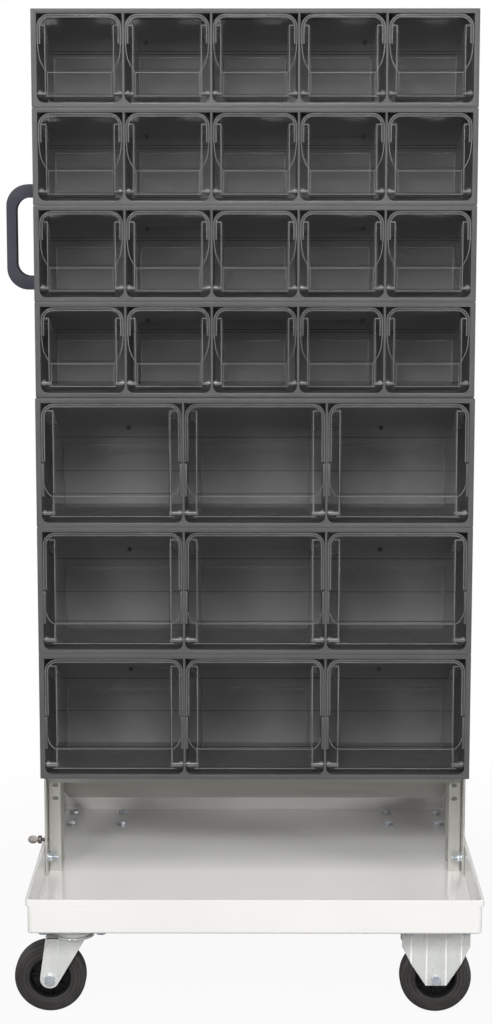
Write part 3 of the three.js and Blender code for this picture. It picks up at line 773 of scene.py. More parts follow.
class Pattern(Tree):
    """A Geometry Nodes tree that repeats a piece, built from named inputs."""

    def __init__(self, name: str, **kinds: str) -> None:
        """Starts a tree.

        Args:
            name: The tree's name.
            kinds: Its inputs, each with the last part of its socket type, such as Int, Vector or Object.
        """
        super().__init__(bpy.data.node_groups.new(name, "GeometryNodeTree"))
        face = self.tree.interface
        face.new_socket("Geometry", in_out="OUTPUT", socket_type="NodeSocketGeometry")
        self.sockets = {key: face.new_socket(key, in_out="INPUT", socket_type="NodeSocket" + kind).identifier
                        for key, kind in kinds.items()}
        self.enter = self.node("NodeGroupInput").outputs

    def copies(self, points: bpy.types.Node, piece: Socket, **inputs: Socket) -> Socket:
        """Puts a copy of a piece on each point.

        Args:
            points: The node that makes the points.
            piece: The piece.
            inputs: More inputs of the node that places the copies.

        Returns:
            The copies.
        """
        inputs |= {"Points": points.outputs["Mesh"], "Instance": piece}
        return self.node("GeometryNodeInstanceOnPoints", inputs).outputs["Instances"]

    def close(self, copies: Socket) -> None:
        """Ends the tree: the copies become real, near points are welded and the material is set.

        Args:
            copies: The socket that gives the copies.
        """
        geometry = copies
        for kind, inputs in (("GeometryNodeRealizeInstances", {}),
                             ("GeometryNodeMergeByDistance", {"Distance": 0.000002}),
                             ("GeometryNodeSetMaterial", {"Material": self.enter["Finish"]})):
            geometry = self.node(kind, {"Geometry": geometry, **inputs}).outputs["Geometry"]
        self.node("NodeGroupOutput", {"Geometry": geometry})

    def run(self, name: str, **values: object) -> bpy.types.Object:
        """Runs the tree on an empty mesh.

        Args:
            name: The new object's name.
            values: A value for each named input.

        Returns:
            The result as a plain object.
        """
        obj = linked(name, bpy.data.meshes.new(name))
        modifier = obj.modifiers.new("pattern", "NODES")
        modifier.node_group = self.tree
        for key, value in values.items():
            modifier[self.sockets[key]] = value
        bpy.context.view_layer.update()
        apply_modifiers(obj)
        return obj


class GridPattern(Pattern):
    """Copies of a piece in a grid: Across copies Across_step apart, and Along rows Along_step apart."""

    def __init__(self) -> None:
        """Builds the tree."""
        super().__init__("copies in a grid", Piece="Object", Start="Vector", Across="Int",
                         Across_step="Vector", Along="Int", Along_step="Vector", Finish="Material")
        enter = self.enter
        piece = self.node("GeometryNodeObjectInfo", {"Object": enter["Piece"]}).outputs["Geometry"]
        place = {"Count": enter["Across"], "Offset": enter["Across_step"], "Start Location": enter["Start"]}
        row = self.copies(self.node("GeometryNodeMeshLine", place, mode="OFFSET"), piece)
        place = {"Count": enter["Along"], "Offset": enter["Along_step"]}
        self.close(self.copies(self.node("GeometryNodeMeshLine", place, mode="OFFSET"), row))


class RingPattern(Pattern):
    """Copies of a piece turned about the Z axis, the first one turned by Turn."""

    def __init__(self) -> None:
        """Builds the tree."""
        super().__init__("copies in a ring", Piece="Object", Copies="Int", Turn="Float", Finish="Material")
        enter = self.enter
        piece = self.node("GeometryNodeObjectInfo", {"Object": enter["Piece"]}).outputs["Geometry"]
        share = self.maths("DIVIDE", self.node("GeometryNodeInputIndex").outputs["Index"], enter["Copies"])
        angle = self.maths("ADD", self.maths("MULTIPLY", share, 2 * math.pi), enter["Turn"])
        turn = self.node("ShaderNodeCombineXYZ", {"Z": angle}).outputs["Vector"]
        points = self.node("GeometryNodeMeshLine", {"Count": enter["Copies"], "Offset": (0, 0, 0)})
        self.close(self.copies(points, piece, Rotation=turn))


GRID = GridPattern()
RING = RingPattern()


def repeated(piece: bpy.types.Object, name: str, start: Sequence[float], across: int,
             across_step: Sequence[float],
             along: int = 1, along_step: Sequence[float] = (0, 0, 0)) -> bpy.types.Object:
    """Repeats a piece in a grid and removes the piece.

    Args:
        piece: The piece, made round the origin.
        name: The result's name.
        start: Where the first copy goes.
        across: How many copies a row has.
        across_step: How far apart they are.
        along: How many rows there are.
        along_step: How far apart those are.

    Returns:
        All copies as one plain object.
    """
    made = GRID.run(name, Piece=piece, Start=tuple(start), Across=across, Across_step=tuple(across_step),
                    Along=along, Along_step=tuple(along_step), Finish=piece.data.materials[0])
    bpy.data.objects.remove(piece)
    smooth(made.data, 35)
    return made


# The rack


@dataclass
class HousingKind:
    """One kind of housing, with the sizes of its bays. Heights are from its underside."""

    bays: int
    height: float
    front: float
    hole_x: float
    hole_drop: float
    lug_drop: float
    groove_heights: tuple[float, ...]
    pad_low: float = 0.0
    pad_high: float = 0.0
    half_width: float = 0.300
    back: float = -0.0283
    top_bar: float = 0.0063
    bottom_bar: float = 0.0061
    side_bar: float = 0.0072
    divider: float = 0.003
    back_wall: float = 0.0025
    corner: float = 0.010
    pad_reach: float = 0.004
    pad_depth: float = 0.006
    lip: float = 0.0015

    @property
    def bay_width(self) -> float:
        """The width of one bay."""
        return (2 * self.half_width - 2 * self.side_bar - (self.bays - 1) * self.divider) / self.bays

    @property
    def pitch(self) -> float:
        """The distance between the middles of two bays."""
        return self.bay_width + self.divider

    @property
    def bay_top(self) -> float:
        """The height of a bay's upper edge."""
        return self.height - self.top_bar

    @property
    def inner_back(self) -> float:
        """The back wall's inner face along Y."""
        return self.back - self.back_wall

    def bay_places(self) -> list[float]:
        """The middle of each bay, from the housing's middle."""
        return [(i - (self.bays - 1) / 2) * self.pitch for i in range(self.bays)]


SMALL = HousingKind(bays=5, height=0.130, front=-0.196, hole_x=0.154, hole_drop=0.037, lug_drop=0.030,
                    groove_heights=(0.0765, 0.0805))
LARGE = HousingKind(bays=3, height=0.178, front=-0.208, hole_x=0.182, hole_drop=0.061, lug_drop=0.040,
                    groove_heights=(0.054, 0.103), pad_low=0.042, pad_high=0.089)


@dataclass
class Housing:
    """A moulded housing with open bays, pads on its dividers and tabs for the next housing."""

    kind: HousingKind
    middle: float
    bottom: float
    node: str
    tab_x: tuple[float, ...] = (0.034, 0.262)
    tab_size: tuple[float, float, float] = (0.006, 0.005, 0.0034)
    hole_radius: float = 0.0027
    lug: tuple[float, float, float] = (0.0027, -0.0027, 0.0017)

    def bay(self, x: float) -> Outline:
        """The outline of the bay whose middle is at x.

        Args:
            x: The place across.

        Returns:
            The outline of the bay.
        """
        half = self.kind.bay_width / 2
        low = self.bottom + self.kind.bottom_bar
        return round_box(x - half, x + half, low, self.bottom + self.kind.bay_top, (0.0006,) * 4, 2)

    def corner_webs(self) -> bpy.types.Object:
        """The thin front lip that rounds the lower corners of each bay; a bin's foot rolls behind it."""
        kind = self.kind
        bm = bmesh.new()
        low = self.bottom + kind.bottom_bar
        for x in kind.bay_places():
            for side in Side:
                edge = kind.bay_width / 2
                curve = arc((edge - kind.corner, low + kind.corner), kind.corner, 270, 360, 8)
                web = curve + [(edge + 0.001, low + kind.corner), (edge + 0.001, low - 0.001),
                               (edge - kind.corner, low - 0.001)]
                outline = [(self.middle + x + side.value * u, z) for u, z in web]
                prism(bm, outline, Along.Y, kind.front - 0.00002, kind.front + kind.lip)
        return object_of(bm, "corner_webs", [HOUSING_PLASTIC])

    def shell(self) -> bpy.types.Object:
        """The block with its bays, closed at the back by a thin wall; the faces inside the bays take a
        lighter copy of its plastic, painted light.
        """
        kind = self.kind
        bm = bmesh.new()
        outer = round_box(self.middle - kind.half_width, self.middle + kind.half_width, self.bottom,
                          self.bottom + kind.height, (0.0012,) * 4, 3)
        bays = [self.bay(self.middle + x) for x in kind.bay_places()]
        holes = [regular(place, self.hole_radius, 20) for place in self.hole_places()]
        prism(bm, outer, Along.Y, kind.front, kind.inner_back, bays)
        prism(bm, outer, Along.Y, kind.inner_back, kind.back, holes)
        shell = object_of(bm, "shell", [HOUSING_PLASTIC, BAY_PLASTIC_PAINTED_LIGHT], 0.0007, 50)
        # Faces facing along Y inside the block, the bays' back walls, take the lighter copy of the plastic:
        # painted light.
        for face in shell.data.polygons:
            face.material_index = int(abs(face.normal.y) > 0.7 and self.within(face.center))
        return shell

    def within(self, place: Vector, margin: float = 0.003) -> bool:
        """Whether a place is inside the block and not on its outer faces.

        Args:
            place: The place.
            margin: The margin.

        Returns:
            True where the place is inside.
        """
        kind = self.kind
        across = abs(place.x - self.middle) < kind.half_width - margin
        upward = abs(place.z - self.bottom - kind.height / 2) < kind.height / 2 - margin
        return across and upward and kind.front + margin < place.y < kind.back - 0.001

    def hole_places(self) -> list[Point]:
        """The middles of the two small holes in the back wall."""
        z = self.bottom + self.kind.height - self.kind.hole_drop
        return [(self.middle + side.value * self.kind.hole_x, z) for side in Side]

    def hole_caps(self) -> list[bpy.types.Object]:
        """A raised rim for each hole in the back wall, and a black disc in it that is painted shade."""
        rims, shade_discs = bmesh.new(), bmesh.new()
        face = self.kind.inner_back
        rim = [(0.0026, HAIR), (0.0026, -0.0004), (0.0029, -0.0009), (0.0034, -0.0009), (0.0038, -0.0004),
               (0.0038, HAIR)]
        # The black disc just behind the wall's face fills the hole with painted shade.
        shade_disc = [(0, 0.0006), (0.0028, 0.0006), (0.0028, 0.0012), (0, 0.0012)]
        for x, z in self.hole_places():
            turned(rims, [(radius, face + y) for radius, y in rim], Along.Y, (x, 0, z), 28)
            turned(shade_discs, [(radius, face + y) for radius, y in shade_disc], Along.Y, (x, 0, z), 20)
        return [object_of(rims, "hole_rims", [HOUSING_PLASTIC]), object_of(shade_discs, "hole_caps", [HUB_PLASTIC_AND_HOLE_SHADE])]

    def pads(self) -> bpy.types.Object:
        """The pads beside the bins."""
        kind = self.kind
        bm = bmesh.new()
        edge = kind.bay_width / 2
        for x in kind.bay_places() if kind.pad_high else ():
            for side in Side:
                inner = self.middle + x + side.value * (edge - kind.pad_reach)
                wall = self.middle + x + side.value * (edge + 0.0005)
                block(bm, (inner, kind.front + HAIR, self.bottom + kind.pad_low),
                      (wall, kind.front + kind.pad_depth, self.bottom + kind.pad_high), 0.0016, 3)
        return object_of(bm, "pads", [HOUSING_PLASTIC])

    def grooves(self) -> bpy.types.Object:
        """Thin dark strips across the back wall of each bay, where its grooves are: painted shade."""
        kind = self.kind
        bm = bmesh.new()
        face = kind.inner_back
        for x in kind.bay_places():
            left, right = self.middle + x - kind.bay_width / 2, self.middle + x + kind.bay_width / 2
            for height in kind.groove_heights:
                z = self.bottom + height
                block(bm, (left, face - 0.0001, z - 0.0006), (right, face + 0.0004, z + 0.0006))
        return object_of(bm, "grooves", [GROOVE_PAINTED_SHADE])

    def tabs(self) -> bpy.types.Object:
        """The small stacking tabs at the front of the underside, inside the bottom bar."""
        bm = bmesh.new()
        width, depth, height = self.tab_size
        for reach in self.tab_x:
            for side in Side:
                x = self.middle + side.value * reach
                block(bm, (x - width / 2, self.kind.front - 0.0004, self.bottom + HAIR),
                      (x + width / 2, self.kind.front + depth, self.bottom + height), 0.0004, 2)
        return object_of(bm, "tabs", [HOUSING_PLASTIC])

    def lugs(self) -> bpy.types.Object:
        """The two lugs that stand in the slots of the uprights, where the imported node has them."""
        bm = bmesh.new()
        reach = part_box(self.node)[1].y
        rack = Rack()
        z = rack.nearest_slot(self.bottom + self.kind.height - self.kind.lug_drop)
        half, under, over = self.lug
        for side in Side:
            x = self.middle + side.value * rack.slot_x
            block(bm, (x - half, self.kind.back - 0.001, z + under), (x + half, reach, z + over), 0.0006, 2)
        return object_of(bm, "lugs", [HOUSING_PLASTIC])

    def build(self) -> bpy.types.Object:
        """Builds the housing and lets it stand for its node."""
        pieces = [self.shell(), self.corner_webs(), self.pads(), self.grooves(), self.tabs(), self.lugs()]
        return dress(self.node, "shell", pieces + self.hole_caps())


@dataclass
class BinShape:
    """One kind of bin: a clear panel with a rolled foot, and a tub behind it. Round the pivot, in metres."""

    housing: HousingKind
    tub_inset: float
    back_wall_top: float
    side_wall_top: float
    shoulder: tuple[Point, ...]
    rim_foot: float
    gap: float = 0.001
    pivot: float = 0.011
    wall: float = 0.0019
    top_corner: float = 0.017
    back_taper: float = 0.0026
    tilt_clearance: float = 0.0015
    rim_band: float = 0.0040
    line_width: float = 0.0009
    pin_radius: float = 0.0028
    boss_radius: float = 0.0048
    floor_round: float = 0.004

    @property
    def pivot_height(self) -> float:
        """The pivot's height above the housing's underside."""
        return self.housing.bottom_bar + self.gap + self.pivot

    @property
    def half(self) -> float:
        """Half the panel's width."""
        return self.housing.bay_width / 2 - self.gap

    @property
    def top(self) -> float:
        """The panel's upper edge."""
        return self.housing.bay_top - self.gap - self.pivot_height

    @property
    def tub_half(self) -> float:
        """Half the tub's width at its front."""
        return self.half - self.tub_inset

    @property
    def back_height(self) -> float:
        """The upper edge of the tub's back wall."""
        return self.back_wall_top - self.pivot_height

    @property
    def side_height(self) -> float:
        """The upper edge of the tub's side walls at their front."""
        return self.side_wall_top - self.pivot_height

    @property
    def back_reach(self) -> float:
        """The tub's reach behind the pivot, so that its edge clears the bay's top when it tilts."""
        reach = self.housing.bay_top - self.pivot_height - self.tilt_clearance
        return math.sqrt(reach * reach - self.back_height * self.back_height)

    def panel_outline(self) -> Outline:
        """The panel in the front view, with a notch beside each pad."""
        kind = self.housing
        right = arc((self.half - kind.corner, -self.pivot + kind.corner), kind.corner, 270, 360, 6)
        if kind.pad_high:
            notch = kind.bay_width / 2 - kind.pad_reach - self.gap
            low = kind.pad_low - self.pivot_height - self.gap
            high = kind.pad_high - self.pivot_height + self.gap
            right += [(self.half, low), *arc((notch + 0.0012, low + 0.0012), 0.0012, 270, 180, 3),
                      *arc((notch + 0.0012, high - 0.0012), 0.0012, 180, 90, 3), (self.half, high)]
        right += arc((self.half - self.top_corner, self.top - self.top_corner), self.top_corner, 0, 90, 10)
        return mirrored(right)

    def panel(self) -> bpy.types.Object:
        """The front panel: flat above the pivot, rolled round it below."""
        edge = self.edge_at(0.0)
        flat = [(edge, 0.0)] + [point for point in self.panel_outline() if point[1] > 1e-6] + [(-edge, 0.0)]
        bm = bmesh.new()
        prism(bm, flat, Along.Y, -self.pivot, -self.pivot + self.wall)
        self.rolled_foot(bm)
        return object_of(bm, "panel", [PANEL_PLASTIC], 0.0003, 50)

    def edge_at(self, z: float) -> float:
        """Half the panel's width at a height at or under the pivot.

        Args:
            z: The height.

        Returns:
            The distance of the edge from the middle.
        """
        corner = self.housing.corner
        drop = max(0.0, -self.pivot + corner - z)
        return self.half - corner + math.sqrt(max(0.0, corner * corner - drop * drop))

    def rolled_foot(self, bm: bmesh.types.BMesh) -> None:
        """Adds the foot that curls back under the tub, narrowing with the bay's round corners.

        Args:
            bm: The mesh to add to.
        """
        steps = 10
        rows = []
        radii = (self.pivot, self.pivot - self.wall)
        for outer, inner in zip(*(arc((0, 0), radius, 180, 270, steps) for radius in radii)):
            edge = self.edge_at(outer[1])
            rows.append([bm.verts.new((x, y, z)) for y, z in (outer, inner) for x in (-edge, edge)])
        faces = [bm.faces.new((rows[-1][0], rows[-1][1], rows[-1][3], rows[-1][2])),
                 bm.faces.new((rows[0][0], rows[0][1], rows[0][3], rows[0][2]))]
        for one, two in zip(rows, rows[1:]):
            for a, b in ((0, 1), (3, 2), (1, 3), (2, 0)):
                faces.append(bm.faces.new((one[a], one[b], two[b], two[a])))
        bmesh.ops.recalc_face_normals(bm, faces=faces)

    def ribbon(self, bm: bmesh.types.BMesh, path: Outline, width: float, low: float, high: float) -> None:
        """Adds a narrow ridge along an open path in the front view.

        Args:
            bm: The mesh to add to.
            path: The ridge's middle line.
            width: The ridge's width.
            low: Where it starts along Y.
            high: Where it ends along Y.
        """
        left, right = [], []
        for i, (x, z) in enumerate(path):
            before = Vector(path[max(i - 1, 0)])
            after = Vector(path[min(i + 1, len(path) - 1)])
            way = (after - before).normalized() * width / 2
            left.append((x - way.y, z + way.x))
            right.append((x + way.y, z - way.x))
        prism(bm, left + right[::-1], Along.Y, low, high)

    def arch_path(self, inset: float) -> Outline:
        """The line round the panel's upper part: up one side, round the corners and down the other.

        Args:
            inset: The distance inside the outline.

        Returns:
            The points of the path.
        """
        edge = self.half - inset
        corner = self.top_corner - inset
        points = [(edge, self.rim_foot - self.pivot_height)]
        points += arc((edge - corner, self.top - inset - corner), corner, 0, 90, 10)
        return mirrored(points)

    def shoulder_path(self) -> Outline:
        """The line under the panel's window, which rises to its edges on both sides."""
        return mirrored([(self.half - inset, height - self.pivot_height) for inset, height in self.shoulder])

    def rims(self) -> bpy.types.Object:
        """The raised lines of the panel, in a lighter clear plastic that paints their highlights: its rim,
        and the lines under its window and over its foot.
        """
        bm = bmesh.new()
        face = -self.pivot
        for inset in (self.line_width / 2, self.rim_band):
            self.ribbon(bm, self.arch_path(inset), self.line_width, face - 0.0004, face + 0.0002)
        self.ribbon(bm, self.shoulder_path(), self.line_width, face - 0.0004, face + 0.0002)
        inset, low = self.shoulder[-1]
        for side in Side:
            x = side.value * (self.half - inset - 0.0006)
            self.ribbon(bm, [(x, low - self.pivot_height), (x, -0.004)], 0.0006, face - 0.0002, face + 0.0003)
        foot = self.half - 0.011
        self.ribbon(bm, [(-foot, -0.0031), (foot, -0.0031)], self.line_width, face - 0.0002, face + 0.0008)
        return object_of(bm, "rims", [RIM_HIGHLIGHT_PLASTIC])

    def band(self) -> bpy.types.Object:
        """The thicker band between the two lines of the rim."""
        bm = bmesh.new()
        middle = (self.rim_band + self.line_width / 2) / 2
        width = self.rim_band - self.line_width * 1.5
        self.ribbon(bm, self.arch_path(middle), width, -self.pivot - 0.0002, -self.pivot + 0.0003)
        return object_of(bm, "band", [BAND_PLASTIC])

    def shades(self) -> bpy.types.Object:
        """The dark lines that go with the light ones: over the window's lower line and under the foot's."""
        bm = bmesh.new()
        face = -self.pivot
        inset, low = self.shoulder[-1]
        edge = self.half - inset - 0.001
        over = low - self.pivot_height + 0.0038
        self.ribbon(bm, [(-edge, over), (edge, over)], 0.0009, face - 0.0001, face + 0.0003)
        foot = self.half - 0.010
        self.ribbon(bm, [(-foot, -0.0052), (foot, -0.0052)], 0.0012, face + 0.0009, face + 0.0015)
        return object_of(bm, "shades", [SHADE_PLASTIC])

    def tub(self) -> bpy.types.Object:
        """The tub: floor, back wall and two side walls that narrow to the back, in one thickness."""
        bm = bmesh.new()
        outer, inner = ([[bm.verts.new(place) for place in section] for section in self.tub_sections(inset)]
                        for inset in (0.0, self.wall))
        faces = []
        for sections in (outer, inner):
            faces += skin(bm, sections, closed=False)
            faces.append(bm.faces.new(sections[-1]))
        for i in range(len(outer) - 1):
            for j in (0, -1):
                faces.append(bm.faces.new((outer[i][j], outer[i + 1][j], inner[i + 1][j], inner[i][j])))
        faces.append(bm.faces.new((outer[-1][0], outer[-1][-1], inner[-1][-1], inner[-1][0])))
        faces += skin(bm, [outer[0], inner[0]], closed=False)
        bmesh.ops.recalc_face_normals(bm, faces=faces)
        return object_of(bm, "tub", [TUB_PLASTIC], 0.0003, 50)

    def tub_sections(self, inset: float) -> list[list[Place]]:
        """U shaped sections of the tub from its front to its back.

        Args:
            inset: How far the sections lie inside the tub's outer faces.

        Returns:
            For each section, the points from the top of one side wall round the floor to the other.
        """
        start = -self.pivot + self.wall
        end = self.back_reach - inset
        sections = []
        steps = 6
        for i in range(steps + 1):
            y = start + (end - start) * i / steps
            share = (y + self.pivot) / (self.back_reach + self.pivot)
            half = self.tub_half - inset - self.back_taper * share
            high = self.side_height + (self.back_height - self.side_height) * share
            depth = self.pivot - inset
            low = -math.sqrt(max(depth * depth - y * y, 0.0)) if y < 0 else -depth
            low = min(low, high - 0.01)
            radius = max(self.floor_round - inset, 0.0012)
            side = [(half, high)] + arc((half - radius, low + radius), radius, 0, -90, 4)
            sections.append([(x, y, z) for x, z in mirrored(side)])
        return sections

    def edges(self) -> bpy.types.Object:
        """The edges of the tub, in a lighter clear plastic that paints their highlights: its upper edges,
        ledges and corners, and the pivot bosses.
        """
        bm = bmesh.new()
        front = -self.pivot + self.wall
        back = self.back_reach
        slope = (self.back_height - self.side_height) / (back - front)
        ledge = self.tub_inset - 0.0035
        end = front + 0.55 * (back - front)
        outline = [(front, self.side_height + HAIR), (end, self.side_height + slope * (end - front) + HAIR)]
        outline += [(y, z - 0.0016) for y, z in reversed(outline)]
        for side in Side:
            s = side.value
            wall = s * (self.tub_half - HAIR)
            prism(bm, outline, Along.X, wall, s * (self.tub_half + ledge))
            block(bm, (wall, front - 0.0001, -0.002),
                  (s * (self.tub_half + 0.0011), front + 0.0022, self.side_height), 0.0003, 1)
            corner = s * (self.tub_half - self.back_taper)
            block(bm, (corner - s * 0.0022, back - 0.0024, -self.pivot + 0.0035),
                  (corner, back - 0.0001, self.back_height - HAIR), 0.0004, 1)
            self.boss(bm, s)
        half = self.tub_half - self.back_taper
        block(bm, (-half, back - 0.0021, self.back_height - 0.0018), (half, back, self.back_height + HAIR),
              0.0004, 1)
        return object_of(bm, "edges", [RIM_HIGHLIGHT_PLASTIC], 0.0, 40)

    def boss(self, bm: bmesh.types.BMesh, s: int) -> None:
        """Adds the pin on one side, its boss and the web that ties the boss to the panel.

        Args:
            bm: The mesh to add to.
            s: The side, -1 or 1.
        """
        pin_end = s * (self.housing.bay_width / 2 + 0.0010)
        root = s * (self.tub_half - self.wall / 2)
        stop = s * (self.half - 0.0004)
        low, high = sorted((root, pin_end))
        turned(bm, [(0, low), (self.pin_radius, low), (self.pin_radius, high), (0, high)], Along.X, (0, 0, 0),
               20)
        low, high = sorted((s * (abs(stop) - 0.0045), stop))
        inner = self.pin_radius + 0.0002
        ring = [(inner, low), (self.boss_radius, low), (self.boss_radius, high), (inner, high)]
        turned(bm, ring, Along.X, (0, 0, 0), 24)
        block(bm, (s * (self.tub_half + HAIR), -self.pivot + self.wall, -0.0010),
              (stop, -self.boss_radius, 0.0012), 0.0003, 1)

    def model(self) -> bpy.types.Object:
        """One whole bin round its pivot."""
        return merge("bin_model", [self.panel(), self.band(), self.rims(), self.shades(), self.tub(),
                                   self.edges()])


SMALL_SHOULDER = ((0.0008, 0.084), (0.0018, 0.072), (0.0034, 0.064), (0.0062, 0.057), (0.0105, 0.0495),
                  (0.0130, 0.0460))
LARGE_SHOULDER = ((0.0030, 0.059), (0.0046, 0.0535), (0.0075, 0.0482), (0.0110, 0.0445), (0.0140, 0.0430))
SMALL_BIN = BinShape(SMALL, tub_inset=0.0108, back_wall_top=0.070, side_wall_top=0.1085,
                     shoulder=SMALL_SHOULDER, rim_foot=0.084)
LARGE_BIN = BinShape(LARGE, tub_inset=0.016, back_wall_top=0.098, side_wall_top=0.1615,
                     shoulder=LARGE_SHOULDER, rim_foot=0.091)


@dataclass
class BinStack:
    """All housings and bins, stacked from the top row down."""

    middle: float
    small_rows: int = 4
    large_rows: int = 3

    def rows(self) -> list[tuple[str, BinShape]]:
        """The name and the bin shape of each row, from the top."""
        shapes = [SMALL_BIN] * self.small_rows + [LARGE_BIN] * self.large_rows
        return [(f"row{i + 1}", shape) for i, shape in enumerate(shapes)]

    def build(self) -> list[bpy.types.Object]:
        """Builds every housing and every bin."""
        made = []
        models = {id(shape): shape.model() for shape in (SMALL_BIN, LARGE_BIN)}
        for name, shape in self.rows():
            node = f"housing_{name}"
            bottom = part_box(node)[0].z
            made.append(Housing(shape.housing, self.middle, bottom, node).build())
            for i, x in enumerate(shape.housing.bay_places()):
                bin_node = f"bin_{name}_{i + 1}"
                place = (self.middle + x, shape.housing.front + shape.pivot, bottom + shape.pivot_height)
                piece = copy_at(models[id(shape)], bin_node + "_copy", place)
                made.append(dress(bin_node, "clear", [piece], bin_node))
        for model in models.values():
            bpy.data.objects.remove(model)
        return made


@dataclass
class Rack:
    """The slotted uprights, the side plates and the two rails."""

    middle: float = 0.0205
    web_x: float = 0.3064
    flange: float = 0.0185
    sheet: float = 0.002
    bend: float = 0.003
    depth: float = 0.056
    slot_pitch: float = 0.020
    first_slot: float = 0.244
    slot_size: tuple[float, float] = (0.009, 0.006)
    plate: tuple[float, float] = (0.3067, 0.3097)
    plate_depth: float = 0.106
    rail_half: float = 0.3062
    rail_back: float = -0.0283
    rail_front: float = -0.0313
    stack_foot: float = 0.324
    toe_inset: float = 0.026
    toe_height: float = 0.036
    tray_face: float = 0.3123
    bolt_y: float = 0.039
    bolt_z: float = 0.157

    @property
    def slot_x(self) -> float:
        """The distance of the slots from the middle."""
        return self.web_x - self.flange / 2

    def nearest_slot(self, z: float) -> float:
        """The height of the slot nearest to a height."""
        return self.first_slot + round((z - self.first_slot) / self.slot_pitch) * self.slot_pitch

    def channel(self, side: Side, low: float, high: float) -> bpy.types.Object:
        """The web, the bends and the back flange of one upright.

        Args:
            side: The cart's side.
            low: The lower end.
            high: The upper end.

        Returns:
            The part.
        """
        half = self.depth / 2
        web, bend = self.web_x, self.bend
        edge = web - self.flange
        outer = arc((web - bend, -half + bend), bend, -90, 0, 5)
        outer += arc((web - bend, half - bend), bend, 0, 90, 5)
        inner = arc((web - bend, half - bend), bend - self.sheet, 90, 0, 3)
        inner += arc((web - bend, -half + bend), bend - self.sheet, 0, -90, 3)
        outline = outer + [(edge, half), (edge, half - self.sheet)] + inner
        bm = bmesh.new()
        prism(bm, [(self.middle + side.value * x, y) for x, y in outline], Along.Z, low, high)
        return object_of(bm, "channel", [SHEET_ZINC], 0.0, 30)

    def slot_cell(self, width: float) -> bpy.types.Object:
        """One pitch of the slotted flange, round the origin, with its slot.

        Args:
            width: The width.

        Returns:
            The part.
        """
        half_x, half_z = self.slot_size[0] / 2, self.slot_size[1] / 2
        hole = arc((half_x - half_z, 0), half_z, -90, 90, 8) + arc((half_z - half_x, 0), half_z, 90, 270, 8)
        half = self.slot_pitch / 2
        outline = [(-width / 2, -half), (width / 2, -half), (width / 2, half), (-width / 2, half)]
        bm = bmesh.new()
        prism(bm, outline, Along.Y, 0, self.sheet, [hole])
        ends = [face for face in bm.faces
                if abs(face.normal.z) > 0.99 and abs(abs(face.calc_center_median().z) - half) < 1e-6]
        bmesh.ops.delete(bm, geom=ends, context="FACES_ONLY")
        return object_of(bm, "slot_cell", [SHEET_ZINC], 0.0, 30)

    def front_flange(self, side: Side, low: float, high: float) -> list[bpy.types.Object]:
        """The front flange: plain at its foot and its head, slotted between.

        Args:
            side: The cart's side.
            low: The lower end.
            high: The upper end.

        Returns:
            The parts.
        """
        inner, outer = self.web_x - self.flange, self.web_x - self.bend
        width = outer - inner
        x = self.middle + side.value * (inner + outer) / 2
        y = -self.depth / 2
        count = int((high - 0.010 - self.first_slot) / self.slot_pitch) + 1
        start = self.first_slot - self.slot_pitch / 2
        end = start + count * self.slot_pitch
        strip = repeated(self.slot_cell(width), "slots", (x, y, self.first_slot), count,
                         (0, 0, self.slot_pitch))
        bm = bmesh.new()
        for z0, z1 in ((low, start), (end, high)):
            if z1 > z0:
                block(bm, (x - width / 2, y, z0), (x + width / 2, y + self.sheet, z1))
        return [strip, object_of(bm, "plain_ends", [SHEET_ZINC], 0.0, 30)]

    def upright(self, side: Side) -> bpy.types.Object:
        """One upright.

        Args:
            side: The cart's side.

        Returns:
            The visible piece.
        """
        node = f"{side.name.lower()}_upright"
        low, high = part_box(node)
        return dress(node, "channel",
                     [self.channel(side, low.z, high.z), *self.front_flange(side, low.z, high.z)])

    def side_plate(self, side: Side) -> bpy.types.Object:
        """One side plate with its two foot bolts.

        Args:
            side: The cart's side.

        Returns:
            The visible piece.
        """
        node = f"{side.name.lower()}_side_plate"
        low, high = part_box(node)
        inner, outer = (self.middle + side.value * x for x in self.plate)
        half = self.plate_depth / 2
        bm = bmesh.new()
        block(bm, (inner, -half, low.z), (outer, half, high.z), 0.0005, 2)
        return dress(node, "sheet", [object_of(bm, "sheet", [SHEET_ZINC]), self.foot_bolts(side)])

    def foot_bolts(self, side: Side) -> bpy.types.Object:
        """The bolts that hold one side plate to the tray, each with a washer and a nut.

        Args:
            side: The cart's side.

        Returns:
            The part.
        """
        s = side.value
        bm = bmesh.new()
        plate = self.plate[0]
        washer = [(0.0038, 0.0001), (0.0082, 0.0001), (0.0082, 0.0013), (0.0038, 0.0013)]
        head = [(0, 0), (0.0078, 0), (0.0074, 0.0011), (0.0045, 0.0021), (0, 0.0023)]
        for direction in (-1, 1):
            centre = (self.middle, direction * self.bolt_y, self.bolt_z)
            turned(bm, [(radius, s * (plate - inward)) for radius, inward in washer], Along.X, centre, 32)
            hexagon(bm, Along.X, centre, BOLT_FLATS, s * (plate - 0.0013), s * (plate - 0.0064), 12)
            root = s * (plate - 0.006)
            turned(bm, [(0, root), *threaded(0.0037, root, s * (plate - 0.0154), THREAD_PITCH)], Along.X,
                   centre, 24)
            turned(bm, [(radius, s * (self.tray_face + outward)) for radius, outward in head], Along.X,
                   centre, 32)
        return object_of(bm, "foot_bolts", [BOLT_ZINC], 0.0, 40)

    def rail_rivets(self, node: str, face: float, z: float, toward: int) -> bpy.types.Object:
        """Domed rivets at both ends of a rail.

        Args:
            node: The rail's node.
            face: The rail's outer face along Y.
            z: The rivets' height.
            toward: The way the heads stand out along Y, -1 or 1.

        Returns:
            The rivets.
        """
        bm = bmesh.new()
        dome = [(0, 0), (0.0049, 0), (0.0046, toward * 0.0009), (0.0030, toward * 0.0017),
                (0, toward * 0.0019)]
        turned(bm, dome, Along.Y, (0, 0, 0), 24)
        rivet = object_of(bm, "rivet", [BOLT_ZINC], 0.0, 50)
        return repeated(rivet, node + "_rivets", (self.middle - self.slot_x, face, z), 2,
                        (2 * self.slot_x, 0, 0))

